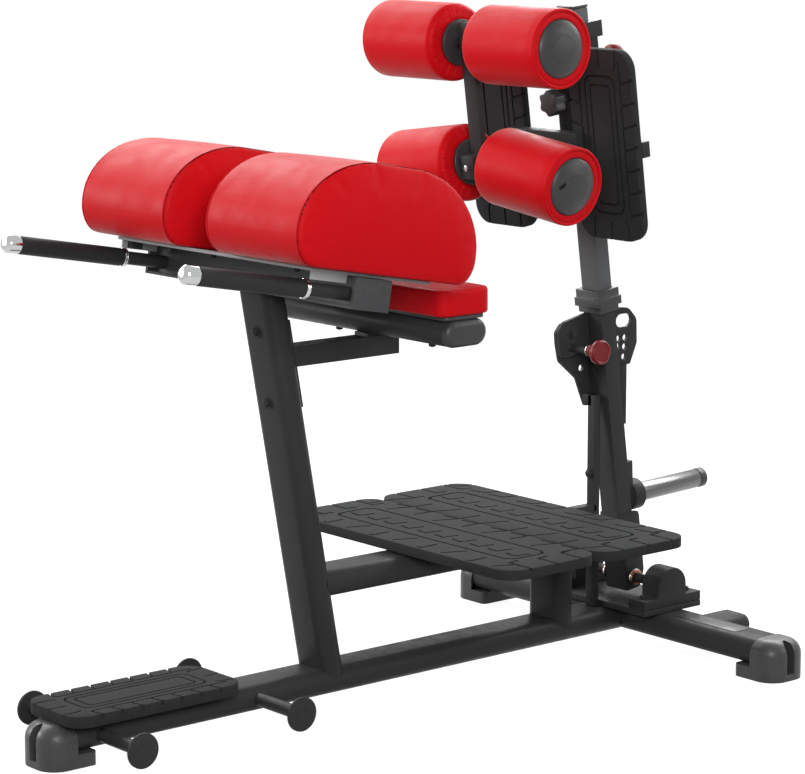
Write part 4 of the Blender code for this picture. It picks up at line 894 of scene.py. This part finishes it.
def seam_shade_loop(name, points, radius):
    """A closed loop of thin cord through the points: the seam's stitching, drawn dark as painted shade in
    the seam's groove.
    """
    line = bpy.data.curves.new(name, "CURVE")
    line.dimensions = "3D"
    line.bevel_depth = radius
    line.bevel_resolution = 1
    spline = line.splines.new("POLY")
    spline.points.add(len(points) - 1)
    for point, place in zip(spline.points, points):
        point.co = (*place, 1.0)
    spline.use_cyclic_u = True
    thing = bpy.data.objects.new(name, line)
    bpy.context.collection.objects.link(thing)
    work_on(thing)
    bpy.ops.object.convert(target="MESH")
    return bpy.context.object


class BENCH_OT_carriage(StepByStep, bpy.types.Operator):
    """Model the hip carriage: its plate, beam, brackets and bolts"""
    bl_idname = "bench.carriage"
    bl_label = "Hip carriage"

    def model(self, sizes):
        cad_piece("hip_plate", "carriage_plate", "plate_grey", ease=0.0012)
        cad_piece("hip_beam", "carriage_beam", "beam_paint")
        blocks = []
        for y in (0.2795, -0.2795):
            block = bar("slider", (-0.122, y - 0.005, -0.0200), (-0.094, y + 0.005, -0.0070))
            blocks.append(placed(eased(block, 0.0008), CARRIAGE))
        finished(gathered("slide_blocks", blocks), "black_plastic", "frame")
        spots = ((-0.088, 0.190), (-0.088, -0.190), (-0.088, 0.060), (0.105, 0.190), (0.105, -0.190))
        bolts = [CARRIAGE @ at(x, y, -0.0063) @ turn(math.pi, "X") for x, y in spots]
        hex_bolts("plate_bolts", sizes.bolt_size * 0.8, bolts, "frame")


class BENCH_OT_hip_pads(StepByStep, bpy.types.Operator):
    """Model the two D-shaped hip pads with their sewn end panels"""
    bl_idname = "bench.hip_pads"
    bl_label = "Hip pads"

    def model(self, sizes):
        width, roll = 0.285 - 2 * sizes.give(), 0.0095
        level = width / 2 - roll - sizes.seam_width / 2
        outline = self.outline(sizes)
        inward, radius = 0.993, 0.0009
        line = [(x * inward, radius + y * inward, level) for x, y in outline]
        for name, side in SIDES:
            pad = cushion("hip_pad_" + name + "_cover", outline, width, sizes, roll=roll, crown=0.0040,
                          stations=9, spread=2.0)
            swelled(pad, lambda place: place.y < 0.004, (-level, level), sizes)
            matrix = CARRIAGE @ at(0, side * 0.1975, 0.0006) @ SIDE_ON
            placed(pad, matrix)
            finished(pad, "red_vinyl", "frame", "hip_pad_" + name)
            # A dark cord along each seam: partly the stitching, partly painted shade of the seam groove
            shade_thread = seam_shade_loop("hip_seam_shade_" + name, line, radius)
            finished(placed(shade_thread, matrix), "seam_shade_thread", "frame")

    def outline(self, sizes):
        """The D of the end panels, whose lower corners differ from front to rear."""
        half = sizes.hip_pad_depth / 2 - sizes.give()
        height = sizes.hip_pad_height - sizes.give()
        crown, front_corner = 0.042, 0.046
        sides = []
        for corner, waist in ((0.034, 0.050), (front_corner, 0.064)):
            low = arc((half - corner, waist), (corner, waist), -90, 0, 8)[:-1]
            sides.append(low + arc((crown, waist), (half - crown, height - waist), 0, 90, 18))
        rear, front = sides
        across = [(crown * share, height) for share in (0.5, 0.0, -0.5)]
        under = [((half - front_corner) * share / 5, 0.0) for share in range(-4, 5)]
        return rear + across + [(-x, y) for x, y in reversed(front)] + under


class BENCH_OT_handles(StepByStep, bpy.types.Operator):
    """Model the two handles in front of the hip pads"""
    bl_idname = "bench.handles"
    bl_label = "Handles"

    def model(self, sizes):
        for name, side in SIDES:
            matrix = CARRIAGE @ at(-0.0358, side * 0.277, -0.039) @ turn(-QUARTER, "Y")
            rod_radius, top, low, high = 0.0127, 0.350, 0.0955, 0.1035
            inside = rod_radius + 0.0002
            handle = [(0, 0.001), (rod_radius - 0.0009, 0.001), (rod_radius, 0.002),
                      (rod_radius, low + 0.002), (rod_radius, top), (0, top)]
            turned_piece("handle_bar_" + name, handle, matrix, "black_paint", "frame", "handle_rod_" + name,
                         closed=False)
            radius = 0.0180
            ring = [(inside, low), (radius - 0.0008, low), (radius, low + 0.0008), (radius, low + 0.003),
                    (radius - 0.0006, low + 0.0036), (radius, low + 0.0042), (radius, high - 0.0008),
                    (radius - 0.0008, high), (inside, high)]
            turned_piece("handle_ring_" + name, ring, matrix, "chrome", "frame")
            start, end, radius, inside = high + 0.0003, 0.3353, 0.0170, rod_radius + 0.0004
            grip = [(inside, start), (radius - 0.0012, start), (radius - 0.0003, start + 0.0004),
                    (radius, start + 0.0015)]
            grip += [(radius, start + (end - start) * i / 12) for i in range(1, 12)]
            grip += [(radius, end - 0.0015), (radius - 0.0003, end - 0.0004), (radius - 0.0012, end),
                     (inside, end)]
            turned_piece("handle_sleeve_" + name, grip, matrix, "grip_rubber", "frame",
                         "handle_grip_" + name)
            start, end = end + 0.0003, 0.3656
            cap = [(inside, start), (radius - 0.0006, start), (radius, start + 0.0006),
                   (radius, end - 0.0066), (radius - 0.0004, end - 0.0058), (radius - 0.0056, end - 0.0004),
                   (radius - 0.0064, end), (0.0030, end), (0.0026, end - 0.0006), (0.0026, end - 0.0016),
                   (0.0, end - 0.0018), (0.0, start + 0.020), (inside, start + 0.020)]
            turned_piece("handle_end_" + name, cap, matrix, "chrome", "frame", "handle_cap_" + name)


class BENCH_OT_pivot(StepByStep, bpy.types.Operator):
    """Model the tilting post's bearings, their plate and the shaft"""
    bl_idname = "bench.pivot"
    bl_label = "Pivot"

    def model(self, sizes):
        cad_piece("pivot_plate", "bearing_plate", "black_paint", ease=0.0012)
        for node in ("bearing_block_left", "bearing_block_right"):
            cad_piece(node + "_cast", node, "black_paint", ease=0.0022, segments=3)
        matrix = at(CROSSBAR_X, 0, PIVOT_Z) @ SIDE_ON
        shaft = eased(rod("shaft", 0.020, -0.140, 0.140, 40), 0.001, 2)
        finished(placed(shaft, matrix), "black_paint", "frame", "pivot_shaft")
        for inner, outer, radius, finish in ((0.0375, 0.0405, 0.0175, "zinc"),
                                             (0.0410, 0.0435, 0.0155, "copper")):
            for side in (-1, 1):
                low, high = sorted((side * inner, side * outer))
                inside, rim = 0.0104, radius - 0.0004
                ring = [(inside, low), (rim, low), (radius, low + 0.0004), (radius, high - 0.0004),
                        (rim, high), (inside, high)]
                turned_piece("thrust_ring", ring, matrix, finish, "post")
        top = 0.0890 + 0.0003 + 0.0197
        bolts = [at(CROSSBAR_X + x, y, top) for x in (-0.0610, 0.0630) for y in (-0.123, 0.123)]
        hex_bolts("bearing_bolts", 0.0135, bolts, "frame")


class BENCH_OT_post(StepByStep, bpy.types.Operator):
    """Model the tilting post, its collar, plug, weight horn and head"""
    bl_idname = "bench.post"
    bl_label = "Tilting post"

    def model(self, sizes):
        for name, node, finish, body, ease, segments in (
                ("post_lower", "lower_post", "black_paint", "post", 0.0030, 3),
                ("post_upper", "upper_post", "grey_paint", "post", 0.0030, 3),
                ("post_end_plug", "post_plug", "black_plastic", "post", 0.0010, 2),
                ("post_ring", "post_collar", "black_plastic", "post", 0.0012, 3),
                ("sleeve", "head_sleeve", "black_paint", "head", 0.0018, 3),
                ("plate_rail", "plate_bar", "black_paint", "head", 0.0015, 3),
                ("arm", "roller_arm", "black_paint", "head", 0.0020, 3),
                ("carrier", "roller_carrier", "black_paint", "head", 0.0010, 2)):
            cad_piece(name, node, finish, body, ease, segments)

        radius = 0.0200
        sleeve = [(0, 0.0268), (radius, 0.0268), (radius, 0.203), (radius - 0.001, 0.2045), (0, 0.2045)]
        # The horn takes the darkened chrome, whose dark colour is painted shade of its reflections
        turned_piece("horn_tube", sleeve, HORN, "shaded_horn_chrome", "post", "horn_sleeve", sides=56, closed=False)
        radius = 0.0205
        cap = [(0.0, 0.2048), (radius - 0.0006, 0.2048), (radius, 0.2054), (radius, 0.2200),
               (radius - 0.0004, 0.2207), (radius - 0.0036, 0.2238), (radius - 0.0044, 0.2243), (0, 0.2243)]
        turned_piece("horn_end", cap, HORN, "black_plastic", "post", "horn_cap", sides=56, closed=False)
        bolt = at(CROSSBAR_X - 0.095, 0, 0.357) @ turn(-QUARTER, "Y")
        hex_bolts("leg_bolt", sizes.bolt_size, [bolt], "frame")
        bolt = POST @ at(-0.313, 0, 0.9280) @ turn(-QUARTER, "Y")
        hex_bolts("carrier_bolt", 0.0130, [bolt], "head", "zinc", washer=False)


class BENCH_OT_selector(StepByStep, bpy.types.Operator):
    """Model the tilt selector plate, its pin and the other knobs"""
    bl_idname = "bench.selector"
    bl_label = "Selector and knobs"

    def model(self, sizes):
        finished(self.fixed_plate(), "black_paint", "frame", "selector_frame")
        finished(self.pin_plate(), "black_paint", "post", "pin_carrier")
        axis = self.pin_axis()
        pull = self.pull_knob("tilt_knob", -0.0390, -0.0610, -0.0773)
        pin = [(0, 0.0277), (0.0035, 0.0277), (0.0045, 0.0262), (0.0045, -0.0182), (0.0078, -0.0184),
               (0.0078, -0.0362), (0, -0.0362)]
        turned_piece("tilt_pin_rod", pin, axis, "black_paint", "tilt_pin_body", sides=40, closed=False)
        finished(placed(pull, axis), "red_plastic", "tilt_pin_body", "tilt_pin")
        washer = [(0.0046, -0.0364), (0.0108, -0.0364), (0.0114, -0.0370), (0.0114, -0.0384),
                  (0.0046, -0.0388)]
        turned_piece("pin_washer", washer, axis, "zinc", "tilt_pin_body", sides=32)
        socket = POST @ at(-0.067, 0.0138, 0.532) @ turn(QUARTER, "X")
        hex_bolts("selector_bolt", 0.0150, [socket], "post")

        rearwards = POST @ at(0, 0, 1.076) @ turn(QUARTER, "Y")
        pull = self.pull_knob("height_knob", 0.0575, 0.092, 0.112)
        finished(placed(pull, rearwards), "red_plastic", "height_pin_body", "height_pin")
        stem = [(0, 0.0258), (0.0044, 0.0258), (0.0044, 0.0590), (0, 0.0590)]
        turned_piece("height_pin_rod", stem, rearwards, "zinc", "height_pin_body", sides=24, closed=False)
        cad_piece("star", "star_knob", "black_plastic", "star_knob_body", 0.0016, 3)

    def pin_axis(self):
        return POST @ at(-0.072, 0, 0.506) @ turn(-QUARTER, "X")

    def fixed_plate(self):
        """The plate with the tilt holes, its leg on the base rail and its arm to the deck."""
        corners = ((-0.169, 0.653, 0.0105), (-0.155, 0.669, 0.0105), (-0.086, 0.682, 0.030),
                   (-0.001, 0.689, 0.030), (0.036, 0.686, 0.026), (0.0595, 0.661, 0.020),
                   (0.061, 0.610, 0.022), (0.042, 0.567, 0.005), (-0.054, 0.563, 0.008),
                   (-0.068, 0.493, 0.003), (-0.086, 0.493, 0.003), (-0.111, 0.552, 0.014),
                   (-0.159, 0.592, 0.018), (-0.167, 0.629, 0.022))
        plate = outline_piece("selector", rounded_outline(corners, 7), -0.036, -0.028)
        low, high = -0.040, -0.024
        holes = [placed(rod("hole", 0.014, low, high, 28), at(x, z, 0))
                 for x, z in ((0.008, 0.623), (0.027, 0.624), (0.007, 0.607), (0.026, 0.605), (0.024, 0.584),
                              (-0.098, 0.573), (-0.139, 0.618))]
        window = outline_piece("window", rounded_rectangle(0.022, 0.014, 0.0137, 10), low, high)
        holes.append(placed(window, at(0.022, 0.660, 0)))
        eased(carved(plate, holes), 0.0011, 3, 40)
        placed(plate, at(CROSSBAR_X, 0, 0) @ SIDE_ON)
        leg_x, half_x, half_y, top = CROSSBAR_X - 0.087, 0.008, 0.011, 0.520
        bars = [bar("leg", (leg_x - half_x, -half_y, 0.0771), (leg_x + half_x, half_y, top)),
                bar("arm", (0.4648, -half_y, 0.2777), (leg_x, half_y, 0.2917)),
                bar("web", (leg_x - half_x, 0.0, 0.497), (leg_x + half_x, 0.0278, top)),
                bar("hanger", (CROSSBAR_X + 0.015, 0.028, 0.441), (CROSSBAR_X + 0.033, 0.0357, 0.572))]
        for piece in bars:
            eased(piece, 0.0012, 3)
        return gathered("selector", [plate] + bars)

    def pin_plate(self):
        """The plate on the post's front that guides the tilt pin."""
        face = -0.01935
        corners = [(face, 0.567, 0.0005), (-0.085, 0.562, 0.010), (-0.101, 0.548, 0.010),
                   (-0.105, 0.501, 0.014), (-0.094, 0.487, 0.006), (face, 0.492, 0.0005)]
        plate = outline_piece("pin_plate", rounded_outline(corners, 7), -0.022, -0.014)
        placed(eased(plate, 0.0012, 3, 40), POST @ SIDE_ON)
        barrel = turned("barrel", [(0.0052, 0.0220), (0.0052, -0.0178), (0.0072, -0.0178), (0.0080, -0.0170),
                                   (0.0080, 0.0110), (0.0100, 0.0135), (0.0100, 0.0220)], 40, True)
        return gathered("pin_plate", [plate, placed(barrel, self.pin_axis())])

    def pull_knob(self, name, seat, low, end):
        """A ringed sleeve with a mushroom head, dished at its end."""
        sign = 1 if end > seat else -1
        neck, knob, rings = 0.0104, 0.025, 3
        pitch = (abs(low - seat) - 0.004) / rings
        profile = [(0, seat), (0.0100, seat)]
        for i in range(rings):
            wide = 0.0118 + 0.0012 * i
            for radius, share in ((wide, 0), (wide + 0.0004, 0.3), (wide, 0.62), (neck, 0.75), (neck, 0.94)):
                profile.append((radius, seat + sign * (0.001 + pitch * i) + sign * pitch * share))
        for radius, rise in ((0.0150, -0.001), (0.0200, 0), (knob - 0.0022, 0.0016), (knob - 0.0004, 0.0040),
                             (knob, 0.0065)):
            profile.append((radius, low + sign * rise))
        for inset, fall in ((0, 0.0045), (0.0006, 0.0022), (0.0022, 0.0006), (0.0036, 0), (0.0050, 0.0006),
                            (0.0060, 0.0020), (knob, 0.0030)):
            profile.append((knob - inset, end - sign * fall))
        return turned(name, profile, 56)


class BENCH_OT_rollers(StepByStep, bpy.types.Operator):
    """Model the four foam rollers and the hubs that hold them"""
    bl_idname = "bench.rollers"
    bl_label = "Rollers"

    def model(self, sizes):
        for level, height, droop in (("lower", 0.9277, math.radians(7.6)), ("upper", 1.165, 0.0)):
            for name, side in SIDES:
                matrix = (POST @ at(-0.266, side * 0.0430, height)
                          @ turn(-side * (QUARTER + droop), "X"))
                self.roller(sizes, level + "_" + name, matrix)

    def roller(self, sizes, name, matrix):
        radius, length = sizes.roller_radius, sizes.roller_length
        shoulder, cap, inner, bead = 0.015, 0.056, 0.0465, 0.0032
        face = length - 0.0030
        profile = [(0.0202, length - 0.006), (cap - 0.002, length - 0.006), (cap + 0.0008, length - 0.0050),
                   (cap + 0.0022, face), (radius - 0.0100, face), (radius - 0.0086, face - 0.0006),
                   (radius - 0.0074, face - 0.0024)]
        profile += arc((radius - 0.0036, length - 0.0042), bead, 160, 12, 8)
        profile += [(radius - 0.0008, length - 0.0058), (radius, length - 0.0100)]
        profile += [(radius, shoulder + (length - 0.0100 - shoulder) * i / 10) for i in range(9, 0, -1)]
        profile += [(radius - shoulder + across, along) for across, along in
                    arc((0, shoulder), shoulder, 0, -82, 10)[:-1]]
        profile += [(radius - shoulder - 0.0012 - 0.0036 * i, 0.0006 - 0.0004 * i) for i in range(4)]
        profile += [(inner, 0.0010), (0.0202, 0.0012)]
        pad = turned("roller_cover_" + name, profile, sizes.pleats * 12, True)
        for point in pad.data.vertices:
            across = math.hypot(point.co.x, point.co.y)
            if point.co.z < shoulder * 0.5 and across > inner - 0.001:
                phase = math.atan2(point.co.y, point.co.x) * sizes.pleats / 2
                fold = max(0.0, 1 - abs(math.sin(phase)) * 4.0)
                point.co.z += 0.0015 * fold * (1 - point.co.z / (shoulder * 0.5))
        body = "roller_" + name
        placed(pad, matrix)
        finished(pad, "red_vinyl", body, "roller_pad_" + name, angle=45)

        seat, bore, axle = length - 0.0055, 0.0200, 0.0127
        dome = [(0, seat + 0.0152), (0.016, seat + 0.0145), (0.0262, seat + 0.0131), (0.0266, seat + 0.0126),
                (0.0272, seat + 0.0129), (0.038, seat + 0.0104), (0.047, seat + 0.0074),
                (0.053, seat + 0.0042), (cap - 0.0004, seat + 0.0016), (cap, seat + 0.0004), (cap, seat),
                (bore, seat), (bore, 0.001), (0.0440, -0.0003), (0.0452, -0.0012), (0.0455, -0.0024),
                (0.0455, -0.0052), (0.0448, -0.0064), (0.0435, -0.0070), (axle, -0.0070), (axle, 0.190),
                (0, 0.190)]
        hub = turned("roller_hub_" + name + "_moulded", dome, 64)
        if name == "lower_right":
            hole = outline_piece("hole", rounded_rectangle(0.0085, 0.0035, 0.0034), 0.0, 0.030)
            placed(hole, at(-0.034, 0.010, seat) @ turn(0.5, "Z"))
            shaped(hub, [hole])
        placed(hub, matrix)
        finished(hub, "black_plastic", body, "roller_hub_" + name)


class BENCH_OT_details(StepByStep, bpy.types.Operator):
    """Model the plain plate on the crossbar"""
    bl_idname = "bench.details"
    bl_label = "Crossbar plate"

    def model(self, sizes):
        rear, front = CROSSBAR_X + 0.022, CROSSBAR_X - 0.022
        plate = bar("crossbar_plate", (front, -0.345, 0.0768), (rear, -0.175, 0.0778))
        finished(eased(plate, 0.0004), "black_plastic", "frame")


class BENCH_OT_stage(StepByStep, bpy.types.Operator):
    """Set the white stage, the lamps and the camera"""
    bl_idname = "bench.stage"
    bl_label = "Stage"

    def model(self, sizes):
        scene = bpy.context.scene
        scene.view_settings.view_transform = "Standard"
        self.world(scene)
        self.floor()
        self.lamps()
        place, pitch, yaw = (-3.5785, -4.271, 1.569), math.radians(80.086), math.radians(-40.06)
        bpy.ops.object.camera_add(location=place, rotation=(pitch, 0, yaw))
        scene.camera = bpy.context.object
        lens = scene.camera.data
        lens.sensor_width, lens.lens, lens.clip_end = 36, 130.99, 50

    def shown(self, nodes, links, lighting, seen, output):
        """Shows one shader to the camera, or by way of metal or glass, while another lights the bench."""
        path, mix = nodes.new("ShaderNodeLightPath"), nodes.new("ShaderNodeMixShader")
        last = path.outputs["Is Camera Ray"]
        for name in ("Is Glossy Ray", "Is Transmission Ray"):
            most = nodes.new("ShaderNodeMath")
            most.operation = "MAXIMUM"
            links.new(last, most.inputs[0])
            links.new(path.outputs[name], most.inputs[1])
            last = most.outputs[0]
        for i, source in enumerate((last, lighting.outputs[0], seen.outputs[0])):
            links.new(source, mix.inputs[i])
        links.new(mix.outputs[0], nodes[output].inputs["Surface"])

    def world(self, scene):
        white = (1, 1, 1, 1)
        world = bpy.data.worlds.new("white")
        world.use_nodes = True
        nodes, links = world.node_tree.nodes, world.node_tree.links
        light = valued(nodes["Background"], Color=white, Strength=0.36)
        plain = valued(nodes.new("ShaderNodeBackground"), Color=white, Strength=1.0)
        self.shown(nodes, links, light, plain, "World Output")
        scene.world = world

    def floor(self):
        """A floor that keeps the bench's shadow and glows just enough to look white."""
        clear_selection()
        bpy.ops.mesh.primitive_plane_add(size=14, location=(0, 0, -0.0005))
        floor = added("floor")
        material = bpy.data.materials.new("white_floor")
        material.use_nodes = True
        nodes, links = material.node_tree.nodes, material.node_tree.links
        diffuse = valued(nodes["Principled BSDF"], Base_Color=(0.17, 0.17, 0.17, 1), Roughness=1.0,
                         Specular_IOR_Level=0.0)
        glow = valued(nodes.new("ShaderNodeEmission"), Strength=0.945)
        add = nodes.new("ShaderNodeAddShader")
        links.new(glow.outputs[0], add.inputs[0])
        links.new(diffuse.outputs[0], add.inputs[1])
        self.shown(nodes, links, diffuse, add, "Material Output")
        floor.data.materials.append(material)

    def lamps(self):
        for name, spot, size, power in (("front", (-2.6, -3.5, 2.2), (1.8, 1.8), 148),
                                        ("side", (2.6, -2.7, 2.0), (1.1, 1.1), 24),
                                        ("strip", (-0.2, 3.9, 3.6), (4.9, 1.3), 190),
                                        ("low", (-3.2, 3.9, 1.9), (1.6, 1.6), 150),
                                        ("rear", (2.6, 0.7, 2.5), (3.4, 1.6), 155)):
            direction = Vector((0, 0, 0.6)) - Vector(spot)
            bpy.ops.object.light_add(type="AREA", location=spot,
                                     rotation=direction.to_track_quat("-Z", "Y").to_euler())
            lamp = bpy.context.object
            lamp.name = name
            lamp.data.shape = "RECTANGLE"
            lamp.data.size, lamp.data.size_y = size
            lamp.data.energy = power


class BENCH_PT_panel(bpy.types.Panel):
    bl_label = "Glute ham developer"
    bl_idname = "BENCH_PT_panel"
    bl_space_type = "VIEW_3D"
    bl_region_type = "UI"
    bl_category = "Bench"

    def draw(self, context):
        layout = self.layout
        sizes = layout.box()
        for name in BenchSizes.__annotations__:
            sizes.prop(context.scene.bench_sizes, name)
        colours = layout.box()
        for name in BenchColours.__annotations__:
            colours.prop(context.scene.bench_colours, name)
        for step in STEPS:
            layout.operator(step.bl_idname)


STEPS = (BENCH_OT_base, BENCH_OT_boots, BENCH_OT_pegs, BENCH_OT_treads, BENCH_OT_uprights, BENCH_OT_knee,
         BENCH_OT_carriage, BENCH_OT_hip_pads, BENCH_OT_handles, BENCH_OT_pivot, BENCH_OT_post,
         BENCH_OT_selector, BENCH_OT_rollers, BENCH_OT_details, BENCH_OT_stage)
CLASSES = (BenchSizes, BenchColours) + STEPS + (BENCH_PT_panel,)


def register():
    for item in CLASSES:
        bpy.utils.register_class(item)
    bpy.types.Scene.bench_sizes = PointerProperty(type=BenchSizes)
    bpy.types.Scene.bench_colours = PointerProperty(type=BenchColours)
    bpy.context.scene.unit_settings.system = "METRIC"


def unregister():
    del bpy.types.Scene.bench_colours
    del bpy.types.Scene.bench_sizes
    for item in reversed(CLASSES):
        bpy.utils.unregister_class(item)


def main():
    register()
    mix_finishes(bpy.context.scene.bench_colours)
    for step in STEPS:
        group, name = step.bl_idname.split(".")
        getattr(getattr(bpy.ops, group), name)()


if __name__ == "__main__":
    main()
